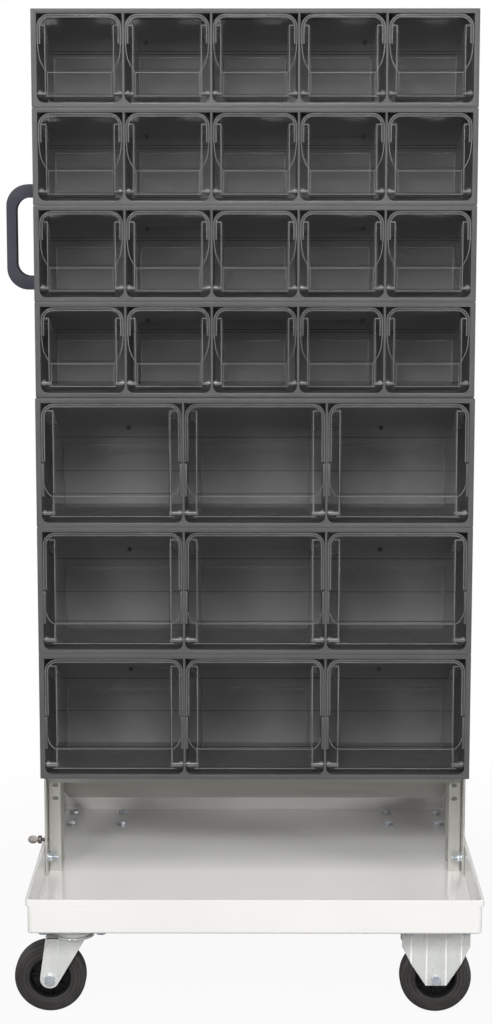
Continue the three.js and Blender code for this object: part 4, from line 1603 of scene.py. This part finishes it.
    def support_rail(self) -> bpy.types.Object:
        """The angle under the lowest housing."""
        low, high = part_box("support_rail")
        back, front = self.rail_back, self.rail_front
        bend = 0.004
        outline = [(back, low.z), (front, low.z)]
        outline += arc((front - 0.001, high.z - bend), 0.001, 0, 90, 3)
        outline += [(low.y, high.z - 0.003), (low.y, high.z)]
        outline += arc((back - bend, high.z - bend), bend, 90, 0, 6)
        bm = bmesh.new()
        prism(bm, outline, Along.X, self.middle - self.rail_half, self.middle + self.rail_half)
        # The angle takes the darker copy of the galvanised finish: painted shade.
        angle = object_of(bm, "angle", [RAIL_ZINC_SHADED], 0.0004, 40)
        z = self.nearest_slot((low.z + self.stack_foot) / 2)
        rivets = self.rail_rivets("support_rail", front + 0.0001, z, -1)
        return dress("support_rail", "angle", [angle, rivets])

    def rear_rail(self) -> bpy.types.Object:
        """The sheet across the back of the uprights, with cut-back lower corners and a folded lip."""
        low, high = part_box("rear_rail")
        front = self.depth / 2 + 0.0003
        back = front + self.sheet
        half, toe, m = self.rail_half, self.rail_half - self.toe_inset, self.middle
        side = low.z + self.toe_height
        outline = [(m - toe, low.z), (m + toe, low.z), (m + half, side), (m + half, high.z),
                   (m - half, high.z), (m - half, side)]
        bm = bmesh.new()
        prism(bm, outline, Along.Y, front, back)
        block(bm, (m - toe + 0.001, front + HAIR, low.z), (m + toe - 0.001, high.y, low.z + self.sheet))
        # The sheet takes the darker copy of the galvanised finish: painted shade.
        sheet = object_of(bm, "sheet", [RAIL_ZINC_SHADED], 0.0004, 40)
        z = self.nearest_slot(high.z - self.slot_pitch / 2)
        rivets = self.rail_rivets("rear_rail", back - 0.0001, z, 1)
        return dress("rear_rail", "sheet", [sheet, rivets])

    def build(self) -> list[bpy.types.Object]:
        """Builds the uprights, the plates and the rails."""
        made = [self.upright(side) for side in Side] + [self.side_plate(side) for side in Side]
        return made + [self.support_rail(), self.rear_rail()]


@dataclass
class Handle:
    """The D handle on the left side plate."""

    root: float
    bottom: float = 0.995
    length: float = 0.150
    reach: float = 0.046
    grip: float = 0.014
    arm: float = 0.019
    half_width: float = 0.013
    outer_corner: float = 0.031
    inner_corner: float = 0.019
    edge_round: float = 0.0032
    screw_inset: float = 0.010

    def build(self) -> bpy.types.Object:
        """Builds the handle and its two screws."""
        tip = self.root - self.reach
        top = self.bottom + self.length
        r, c = self.outer_corner, self.inner_corner
        outline = [(self.root, top), *arc((tip + r, top - r), r, 90, 180, 16),
                   *arc((tip + r, self.bottom + r), r, 180, 270, 16)]
        inner = tip + self.grip
        high, low = top - self.arm, self.bottom + self.arm
        gap = arc((inner + c, low + c), c, 270, 180, 14) + arc((inner + c, high - c), c, 180, 90, 14)
        whole = [(self.root, self.bottom), (self.root, low), *gap, (self.root, high), *outline]
        bm = bmesh.new()
        prism(bm, whole, Along.Y, -self.half_width, self.half_width)
        grip = object_of(bm, "grip", [HANDLE_PLASTIC, HANDLE_EDGE_SHADE])
        ease_edges(grip, self.edge_round, 4, 60)
        smooth(grip.data, 40)
        # Faces that do not face along Y, the handle's sides and rounds, take the near-black copy: painted
        # shade.
        for face in grip.data.polygons:
            face.material_index = int(abs(face.normal.y) < 0.9)
        return dress("side_handle", "grip", [grip, self.screws()])

    def screws(self) -> bpy.types.Object:
        """The two screws that hold the handle from behind."""
        bm = bmesh.new()
        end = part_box("side_handle")[1].x
        start = self.root + HAIR
        head = end - 0.0033
        shank = [(0, start), (0.0029, start), (0.0029, head), (0.0053, head), (0.0048, end), (0, end)]
        for z in (self.bottom + self.screw_inset, self.bottom + self.length - self.screw_inset):
            turned(bm, shank, Along.X, (0, 0, z), 24)
        return object_of(bm, "screws", [BOLT_ZINC], 0.0, 40)


@dataclass
class WingScrew:
    """The wing screw through the left side plate."""

    length: float = 0.0205
    hub_length: float = 0.006
    hub_radius: float = 0.006
    neck: float = 0.006
    breadth: float = 0.012
    thickness: float = 0.003
    rest_turn: float = -20.0

    def build(self) -> bpy.types.Object:
        """Builds the screw with its flat oval wing."""
        low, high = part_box("wing_screw")
        y = (low.y + high.y) / 2
        z = (low.z + high.z) / 2
        hub_end = low.x + self.length
        hub_start = hub_end - self.hub_length
        bm = bmesh.new()
        hub = [(0, hub_start), (self.hub_radius - 0.0012, hub_start), (self.hub_radius, hub_start + 0.0012),
               (self.hub_radius, hub_end - 0.0006), (self.hub_radius - 0.0006, hub_end), (0.0029, hub_end),
               *threaded(0.0029, hub_end, high.x, 0.001)[1:]]
        turned(bm, hub, Along.X, (0, y, z), 28)
        half = (self.length - self.hub_length) / 2
        middle = low.x + half
        sides = [(middle + half * math.cos(turn), z + self.breadth / 2 * math.sin(turn))
                 for turn in (math.radians(angle) for angle in range(30, 331, 10))]
        wing = [(hub_start + 0.002, z - self.neck / 2), (hub_start + 0.002, z + self.neck / 2), *sides]
        prism(bm, wing, Along.Y, y - self.thickness / 2, y + self.thickness / 2)
        turn = Matrix.Rotation(math.radians(self.rest_turn), 3, "X")
        bmesh.ops.rotate(bm, verts=bm.verts, cent=(0, y, z), matrix=turn)
        return dress("wing_screw", "steel", [object_of(bm, "screw", [SCREW_STEEL], 0.0005, 45)],
                     "wing_screw")


@dataclass
class Tray:
    """The open tray with a hem along both sides, and the bolts that hold the casters."""

    half_x: float = 0.312
    half_y: float = 0.300
    height: float = 0.0487
    sheet: float = 0.002
    hem_reach: float = 0.003
    hem_height: float = 0.010
    corner: float = 0.006
    caster_span: tuple[float, float] = (0.506, 0.480)
    bolt_span: tuple[float, float] = (0.080, 0.060)

    def profile(self, low: float, high: float) -> Outline:
        """The side wall's section, from the inner floor over the hem to the underside.

        Args:
            low: The tray's underside.
            high: The top of its rim.

        Returns:
            The points as distances outside the wall's outer face, and heights.
        """
        inner = -self.sheet
        floor = low + self.sheet
        hem = high - self.hem_height
        points = [(inner - 0.003, floor)] + arc((inner - 0.003, floor + 0.003), 0.003, 270, 360, 4)
        points += arc((inner + 0.0009, high - 0.0009), 0.0009, 180, 90, 4)
        points += arc((self.hem_reach - 0.0018, high - 0.0018), 0.0018, 90, 0, 4)
        points += arc((self.hem_reach - 0.0008, hem + 0.0008), 0.0008, 0, -90, 3) + [(0.0, hem)]
        return points + arc((-0.003, low + 0.003), 0.003, 0, -90, 5)

    def ring(self, out: float, z: float) -> list[Place]:
        """A round cornered rectangle at a height, outside the walls at the sides only, where the hem is.

        Args:
            out: The distance outside the wall.
            z: The height.

        Returns:
            The points of the ring.
        """
        out_y = min(out, 0.0)
        radius = max(self.corner + out_y, 0.0015)
        x, y = self.half_x + out, self.half_y + out_y
        return [(px, py, z) for px, py in round_box(-x, x, -y, y, (radius,) * 4, 7)]

    def sheet_metal(self, middle: float, low: float, high: float) -> bpy.types.Object:
        """The tray itself.

        Args:
            middle: The place of the middle across.
            low: The lower end.
            high: The upper end.

        Returns:
            The part.
        """
        bm = bmesh.new()
        rings = [[bm.verts.new((x + middle, y, z)) for x, y, z in self.ring(out, height)]
                 for out, height in self.profile(low, high)]
        faces = [bm.faces.new(rings[0]), bm.faces.new(rings[-1]), *skin(bm, rings)]
        bmesh.ops.recalc_face_normals(bm, faces=faces)
        return object_of(bm, "tray", [TRAY_COAT], 0.0, 40)

    def caster_bolts(self, middle: float, floor: float, nut_low: float) -> bpy.types.Object:
        """All caster bolts: hexagonal heads in the tray, nuts under the caster plates.

        Args:
            middle: The place of the middle across.
            floor: The height of the tray's floor.
            nut_low: The height of the lower ends of the nuts.

        Returns:
            The part.
        """
        bm = bmesh.new()
        nut = nut_low - floor + HAIR
        origin = (0, 0, 0)
        hexagon(bm, Along.Z, origin, BOLT_FLATS, 0.0, 0.0053)
        turned(bm, [(0, HAIR), *threaded(BOLT_RADIUS, HAIR, nut_low - floor + 0.0001, THREAD_PITCH)], Along.Z,
               origin, 20)
        hexagon(bm, Along.Z, origin, BOLT_FLATS, nut, nut + 0.0062, 18)
        bolts = object_of(bm, "caster_bolt", [BOLT_ZINC], 0.0, 40)
        start = (middle - (self.caster_span[0] + self.bolt_span[0]) / 2,
                 -(self.caster_span[1] + self.bolt_span[1]) / 2, floor)
        for place, (across, along) in ((origin, self.bolt_span), (start, self.caster_span)):
            bolts = repeated(bolts, "caster_bolts", place, 2, (across, 0, 0), 2, (0, along, 0))
        return bolts

    def build(self) -> bpy.types.Object:
        """Builds the tray and its bolts."""
        low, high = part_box("base_tray")
        middle = (low.x + high.x) / 2
        bottom = high.z - self.height
        tray = self.sheet_metal(middle, bottom, high.z)
        bolts = self.caster_bolts(middle, bottom + self.sheet, low.z)
        return dress("base_tray", "sheet", [tray, bolts])


# The casters


@dataclass
class Wheel:
    """A rubber tyre on a plastic hub with thin ribs, turned about Y."""

    turn: float
    radius: float = 0.050
    half_width: float = 0.015
    hub_half: float = 0.0163
    tyre_inner: float = 0.0290
    bore: float = 0.0045
    rib_count: int = 7

    def tyre(self) -> Outline:
        """The tyre's section: round shoulders, two grooves in each side and a lip round the hub."""
        r, w, t = self.radius, self.half_width, self.tyre_inner
        side = [(t, -w + 0.0022), (t + 0.0010, -w + 0.0006), (t + 0.0035, -w + 0.0002),
                (t + 0.0042, -w + 0.0010),
                (t + 0.0052, -w), (t + 0.0098, -w), (t + 0.0103, -w + 0.0007), (t + 0.0108, -w),
                (t + 0.0138, -w + 0.0003), (t + 0.0143, -w + 0.0010), (t + 0.0148, -w + 0.0005),
                (r - 0.0032, -w + 0.0012), (r - 0.0012, -w + 0.0026), (r - 0.0003, -w + 0.0052),
                (r, -w + 0.0085)]
        return both_sides(side)

    def hub(self) -> Outline:
        """The hub's section: a rim, a thin web and a boss round the axle."""
        t, w, h = self.tyre_inner, self.half_width, self.hub_half
        side = [(self.bore, -h), (0.0096, -h), (0.0104, -h + 0.0008), (0.0108, -0.0022), (0.0262, -0.0022),
                (0.0270, -w + 0.0030), (0.0278, -w + 0.0018), (t + 0.0001, -w + 0.0022)]
        return both_sides(side)

    def ribs(self, centre: Vector) -> bpy.types.Object:
        """The thin ribs between the boss and the rim.

        Args:
            centre: The wheel's middle.

        Returns:
            The part.
        """
        bm = bmesh.new()
        block(bm, (0.0104, -0.0006, -self.half_width + 0.0050), (0.0268, 0.0006, self.half_width - 0.0050),
              0.0003, 1)
        rib = object_of(bm, "rib", [HUB_PLASTIC_AND_HOLE_SHADE])
        made = RING.run("ribs", Piece=rib, Copies=self.rib_count, Turn=math.radians(self.turn),
                        Finish=material_of(HUB_PLASTIC_AND_HOLE_SHADE))
        bpy.data.objects.remove(rib)
        made.data.transform(Matrix.Translation(centre) @ Matrix.Rotation(math.radians(90), 4, "X"))
        return made

    def build(self, name: str) -> bpy.types.Object:
        """Builds one wheel where its node is.

        Args:
            name: The wheel's node, which is also its body.

        Returns:
            The wheel.
        """
        low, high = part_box(name)
        centre = (low + high) / 2
        bm = bmesh.new()
        turned(bm, self.tyre(), Along.Y, centre, 96)
        tyre = object_of(bm, "tyre", [TYRE_RUBBER], 0.0, 40)
        bm = bmesh.new()
        turned(bm, self.hub(), Along.Y, centre, 64)
        hub = object_of(bm, "hub", [HUB_PLASTIC_AND_HOLE_SHADE], 0.0, 40)
        return dress(name, "tyre", [tyre, hub, self.ribs(centre)], name)


@dataclass
class Caster:
    """What the fixed and the swivel casters share: a plate, fork legs and an axle bolt."""

    end: str
    plate_half: tuple[float, float] = (0.0525, 0.0425)
    plate_top: float = 0.1297
    plate_thickness: float = 0.003
    leg_inner: float = 0.0175
    leg_thickness: float = 0.003
    crease_width: float = 0.0025
    axle_z: float = 0.050

    @property
    def leg_outer(self) -> float:
        """The distance of a leg's outer face from the wheel's middle plane."""
        return self.leg_inner + self.leg_thickness

    def plate(self, bm: bmesh.types.BMesh, centre: Vector) -> None:
        """Adds the top plate with its round corners and its four holes.

        Args:
            bm: The mesh to add to.
            centre: The caster's middle.
        """
        x, y = self.plate_half
        outline = round_box(centre.x - x, centre.x + x, centre.y - y, centre.y + y, (0.009,) * 4, 6)
        spots = [(centre.x + u * 0.040, centre.y + v * 0.030) for u in (-1, 1) for v in (-1, 1)]
        holes = [regular(spot, 0.0045, 16) for spot in spots]
        prism(bm, outline, Along.Z, self.plate_top - self.plate_thickness, self.plate_top, holes)

    def pressed_leg(self, bm: bmesh.types.BMesh, side: int, y: float, columns: Sequence[tuple[float, float]],
                    spans: Sequence[tuple[float, float]]) -> None:
        """Adds a fork leg pressed from sheet: columns across it, each with its own relief, low and high end.

        Args:
            bm: The mesh to add to.
            side: -1 for the leg in front of the wheel, 1 for the one behind.
            y: The wheel's middle plane.
            columns: For each column, its x and how far it stands out from the leg's outer face.
            spans: For each column, its lowest and highest z.
        """
        steps = 8
        grid: list[list[tuple[bmesh.types.BMVert, bmesh.types.BMVert]]] = []
        for (x, out), (low, high) in zip(columns, spans):
            column = []
            for i in range(steps + 1):
                z = low + (high - low) * i / steps
                fade = min(1.0, max(0.0, (z - 0.040) / 0.012))
                relief = out * fade if out > 0 else out
                face = y + side * (self.leg_outer + relief)
                inner = y + side * (self.leg_inner + min(relief, 0.0))
                column.append((bm.verts.new((x, face, z)), bm.verts.new((x, inner, z))))
            grid.append(column)
        faces = []
        for one, two in zip(grid, grid[1:]):
            # Columns narrower than crease_width are creases; they take material 1, the near-white painted
            # highlight.
            crease = int(two[0][0].co.x - one[0][0].co.x < self.crease_width)
            for i in range(steps):
                for layer in (0, 1):
                    faces.append(bm.faces.new((one[i][layer], two[i][layer], two[i + 1][layer],
                                               one[i + 1][layer])))
                    faces[-1].material_index = crease
            for i in (0, steps):
                faces.append(bm.faces.new((one[i][0], two[i][0], two[i][1], one[i][1])))
        for column in (grid[0], grid[-1]):
            for i in range(steps):
                faces.append(bm.faces.new((column[i][0], column[i + 1][0], column[i + 1][1], column[i][1])))
        bmesh.ops.recalc_face_normals(bm, faces=faces)

    def axle(self, x: float, y: float, node: str, body: str) -> bpy.types.Object:
        """Builds the axle bolt and its nut.

        Args:
            x: Its place along X.
            y: The wheel's middle plane.
            node: The axle's node.
            body: The body that it rides.

        Returns:
            The axle.
        """
        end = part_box(node)[1].y - y
        face = self.leg_outer + 0.0003
        bm = bmesh.new()
        centre = (x, y, self.axle_z)
        dish = -face - 0.0052
        hexagon(bm, Along.Y, centre, BOLT_FLATS, dish, -face - HAIR, 8)
        mark = [(0, dish - 0.00005), (0.0052, dish - 0.00005), (0.0050, dish + 0.0004), (0, dish + 0.0004)]
        turned(bm, mark, Along.Y, centre, 24)
        shank = [(0, -face - HAIR), (BOLT_RADIUS, -face - HAIR),
                 *threaded(BOLT_RADIUS, face, end, THREAD_PITCH)]
        turned(bm, shank, Along.Y, centre, 24)
        hexagon(bm, Along.Y, centre, BOLT_FLATS, face + HAIR, face + 0.0064, 20)
        return dress(node, "bolt", [object_of(bm, "axle", [BOLT_ZINC], 0.0, 40)], body)


@dataclass
class FixedCaster(Caster):
    """A fixed caster on the right: a wide pressed fork under its plate."""

    half_toe: float = 0.0185
    shoulder: float = 0.097
    toe: float = 0.0414
    reliefs: tuple[Point, ...] = ((0.0475, -0.0024), (0.036, -0.0002), (0.034, 0.0), (0.0145, 0.0),
                                  (0.0125, 0.0014))

    def build(self) -> list[bpy.types.Object]:
        """Builds the fork and the axle."""
        node = f"fixed_fork_{self.end}"
        low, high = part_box(node)
        centre = Vector(((low.x + high.x) / 2, (low.y + high.y) / 2, 0))
        bm = bmesh.new()
        self.plate(bm, centre)
        top = self.plate_top - self.plate_thickness / 2
        reliefs = [(-x, out) for x, out in self.reliefs] + list(reversed(self.reliefs))
        spans = [(self.lower_edge(abs(x)), top) for x, _ in reliefs]
        for side in (-1, 1):
            self.pressed_leg(bm, side, centre.y, [(centre.x + x, out) for x, out in reliefs], spans)
        pressing = object_of(bm, "fork", [FORK_ZINC, FORK_CREASE_HIGHLIGHT], 0.0005, 50)
        fork = dress(node, "pressing", [pressing])
        return [fork, self.axle(centre.x, centre.y, f"fixed_axle_{self.end}", "cart")]

    def lower_edge(self, x: float) -> float:
        """The height of the leg's lower edge at a distance from its middle."""
        share = (x - self.half_toe) / (self.reliefs[0][0] - self.half_toe)
        return self.toe + max(share, 0.0) * (self.shoulder - self.toe)


@dataclass
class SwivelCaster(Caster):
    """A swivel caster on the left: a plate with a race dish, and a fork that trails behind the pivot."""

    trail: float = 0.033
    ahead: float = 0.016
    behind: float = 0.038
    crease: float = 0.0126
    toe_radius: float = 0.0135

    def build(self) -> list[bpy.types.Object]:
        """Builds the plate, the fork and the axle."""
        low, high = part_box(f"swivel_plate_{self.end}")
        pivot = Vector(((low.x + high.x) / 2, (low.y + high.y) / 2, low.z))
        body = f"swivel_{self.end}"
        made = [self.head(pivot), self.fork(pivot, body)]
        made.append(self.axle(pivot.x - self.trail, pivot.y, f"swivel_axle_{self.end}", body))
        return made

    def head(self, pivot: Vector) -> bpy.types.Object:
        """The plate with its pressed race dish and the kingpin.

        Args:
            pivot: The middle of the swivel.

        Returns:
            The visible piece.
        """
        bm = bmesh.new()
        self.plate(bm, pivot)
        top = self.plate_top - self.plate_thickness
        dish = [(0, top - 0.0010), (0.0372, top - 0.0010), (0.0378, top - 0.0026), (0.0352, top - 0.0058),
                (0.0316, top - 0.0079), (0.0262, top - 0.0080), (0.0050, top - 0.0080),
                (0.0050, pivot.z + 0.0035),
                (0.0088, pivot.z + 0.0034), (0.0088, pivot.z + 0.0012), (0.0074, pivot.z), (0, pivot.z)]
        turned(bm, dish, Along.Z, (pivot.x, pivot.y, 0), 48)
        head = object_of(bm, "head", [FORK_ZINC], 0.0004, 45)
        return dress(f"swivel_plate_{self.end}", "pressing", [head])

    def fork(self, pivot: Vector, body: str) -> bpy.types.Object:
        """The pressed fork: a crown round the pivot and two legs down to the axle.

        Args:
            pivot: The middle of the swivel.
            body: The body that the piece rides.

        Returns:
            The visible piece.
        """
        node = f"swivel_fork_{self.end}"
        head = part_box(node)[1].z
        crown = head - 0.007
        bm = bmesh.new()
        collar = [(0.0056, crown - 0.0030), (0.0286, crown - 0.0030), (0.0289, crown - 0.0010),
                  (0.0282, crown), (0.0248, crown), (0.0248, head - 0.0016), (0.0236, head), (0.0056, head)]
        turned(bm, collar, Along.Z, (pivot.x, pivot.y, 0), 48)
        left, right = pivot.x - self.behind, pivot.x + self.ahead
        bridge = round_box(left, right, pivot.y - self.leg_outer, pivot.y + self.leg_outer, (0.002,) * 4, 3)
        prism(bm, bridge, Along.Z, crown - 0.0029, crown - 0.0001)
        for side in (-1, 1):
            self.leg(bm, side, pivot.y, pivot.x - self.trail, left, right, crown)
        return dress(node, "pressing", [object_of(bm, "fork", [FORK_ZINC], 0.0005, 50)], body)

    def leg(self, bm: bmesh.types.BMesh, side: int, y: float, axle_x: float, left: float, right: float,
            top: float) -> None:
        """Adds one leg: straight edges down to a round toe, with a crease ahead of the axle.

        Args:
            bm: The mesh to add to.
            side: -1 for the leg in front of the wheel, 1 for the one behind.
            y: The wheel's middle plane.
            axle_x: The axle's place.
            left: The leg's left edge at its top.
            right: The leg's right edge at its top.
            top: The height of the crown.
        """
        toe = arc((axle_x, self.axle_z), self.toe_radius, 176, 318, 12)
        outline = [(left, top - 0.0005), *toe, (right, top - 0.0045), (right - 0.003, top - 0.0005)]
        face = y + side * self.leg_outer
        prism(bm, outline, Along.Y, y + side * self.leg_inner, face)
        start, end = axle_x + self.crease - 0.0012, axle_x + self.crease + 0.0012
        ridge = [(start, 0.054), (end, 0.054), (end, top - 0.003), (start, top - 0.003)]
        prism(bm, ridge, Along.Y, face - side * 0.0004, face + side * 0.0006)


@dataclass(frozen=True)
class Lamp:
    """A square lamp: its place, what it is turned to, its edge and its power."""

    name: str
    place: Place
    target: Place
    size: float
    power: float

    def build(self) -> None:
        """Adds the lamp."""
        data = bpy.data.lights.new(self.name, "AREA")
        data.shape = "SQUARE"
        data.size = self.size
        data.energy = self.power
        lamp = linked(self.name, data)
        lamp.location = self.place
        lamp.rotation_euler = (Vector(self.target) - lamp.location).to_track_quat("-Z", "Y").to_euler()


LAMPS = (
    Lamp("key_lamp", (-2.00, -4.39, 2.48), (0.0, -0.1, 0.85), 1.0, 64.0),
    Lamp("fill_lamp", (0.82, -4.73, 2.56), (0.0, -0.1, 0.85), 1.1, 30.0),
    Lamp("top_lamp", (-0.10, -3.92, 3.55), (0.0, -0.2, 0.2), 1.1, 150.0),
    Lamp("left_lamp", (-2.81, -1.36, 1.02), (0.0, -0.05, 0.25), 0.7, 10.0),
    Lamp("right_lamp", (2.81, -1.36, 1.02), (0.0, -0.05, 0.25), 0.7, 28.0),
)


@dataclass
class Studio:
    """The camera at the photograph's angle, a pale floor and soft light."""

    middle: float
    camera_place: Place = (0.0205, -3.306, 1.1906)
    camera_turn: Place = (81.04, 0.0, 0.226)
    lens: float = 80.27
    world_strength: float = 0.07
    gloss_strength: float = 0.77
    floor_grey: Colour = (0.42, 0.42, 0.42)
    floor_corners: tuple[Point, ...] = ((-30, -30), (30, -30), (30, 60), (-30, 60))

    def camera(self) -> None:
        """Sets the scene's camera."""
        data = bpy.data.cameras.new("photo_camera")
        data.lens = self.lens
        data.sensor_width = 36.0
        data.clip_end = 100.0
        camera = linked("photo_camera", data)
        camera.location = self.camera_place
        camera.rotation_euler = [math.radians(angle) for angle in self.camera_turn]
        bpy.context.scene.camera = camera

    def world(self) -> None:
        """A studio that is dim to the side and lighter above, and that the camera and glass see as white."""
        world = bpy.data.worlds.new("studio")
        bpy.context.scene.world = world
        world.use_nodes = True
        sky = Tree(world.node_tree)
        ray = sky.node("ShaderNodeLightPath").outputs
        way = sky.node("ShaderNodeTexCoord").outputs["Generated"]
        up = sky.node("ShaderNodeSeparateXYZ", {"Vector": way}).outputs["Z"]
        diffuse = sky.ranged(up, 0.0, 0.9, self.world_strength * 0.5, self.world_strength * 1.7)
        gloss = sky.blended(ray["Is Glossy Ray"], diffuse, self.gloss_strength)
        seen = sky.maths("MAXIMUM", ray["Is Camera Ray"], ray["Is Transmission Ray"])
        background = sky.tree.nodes["Background"].inputs
        background["Color"].default_value = (1.0, 1.0, 1.0, 1)
        sky.tree.links.new(sky.blended(seen, gloss, 1.0), background["Strength"])

    def floor(self) -> None:
        """A wide pale floor that keeps the cart's shadow, and fades into white for the camera."""
        bm = bmesh.new()
        bm.faces.new([bm.verts.new((self.middle + x, y, 0)) for x, y in self.floor_corners])
        floor = bare_object(bm, "floor")
        paper = Recipe("floor_paper")
        surface = paper.surface
        surface.inputs["Base Color"].default_value = (*self.floor_grey, 1)
        surface.inputs["Roughness"].default_value = 0.9
        away = paper.node("ShaderNodeVectorMath", {0: paper.place}, operation="LENGTH").outputs["Value"]
        seen = paper.node("ShaderNodeLightPath").outputs["Is Camera Ray"]
        share = paper.maths("MULTIPLY", seen, paper.ranged(away, 0.5, 1.2, 0.94, 1.0))
        glow = paper.node("ShaderNodeEmission").outputs["Emission"]
        mix = paper.node("ShaderNodeMixShader", {0: share, 1: surface.outputs["BSDF"], 2: glow})
        paper.tree.links.new(mix.outputs["Shader"], paper.tree.nodes["Material Output"].inputs["Surface"])
        floor.data.materials.append(paper.material)

    def build(self) -> None:
        """Sets up the camera, the lamps, the world and the floor."""
        bpy.context.scene.view_settings.view_transform = "Standard"
        self.camera()
        for lamp in LAMPS:
            lamp.build()
        self.world()
        self.floor()


def report(group: str, pieces: Sequence[bpy.types.Object]) -> None:
    """Logs each piece of a group with its number of faces."""
    for piece in pieces:
        log.info("%s: %s, %d faces", group, piece.name, len(piece.data.polygons))


def main() -> None:
    """Builds the cart, group by group, and the studio round it."""
    logging.basicConfig(level=logging.INFO, format="%(name)s: %(message)s")
    low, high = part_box("base_tray")
    middle = (low.x + high.x) / 2
    Studio(middle).build()
    report("stack", BinStack(middle).build())
    report("rack", Rack(middle).build())
    report("handle", [Handle(middle - 0.310).build()])
    report("wing screw", [WingScrew().build()])
    report("tray", [Tray().build()])
    for end in ("front", "rear"):
        report("fixed caster", FixedCaster(end).build())
        report("swivel caster", SwivelCaster(end).build())
        report("wheels", [Wheel(-87.7).build(f"wheel_left_{end}"), Wheel(-101.3).build(f"wheel_right_{end}")])


if __name__ == "__main__":
    main()
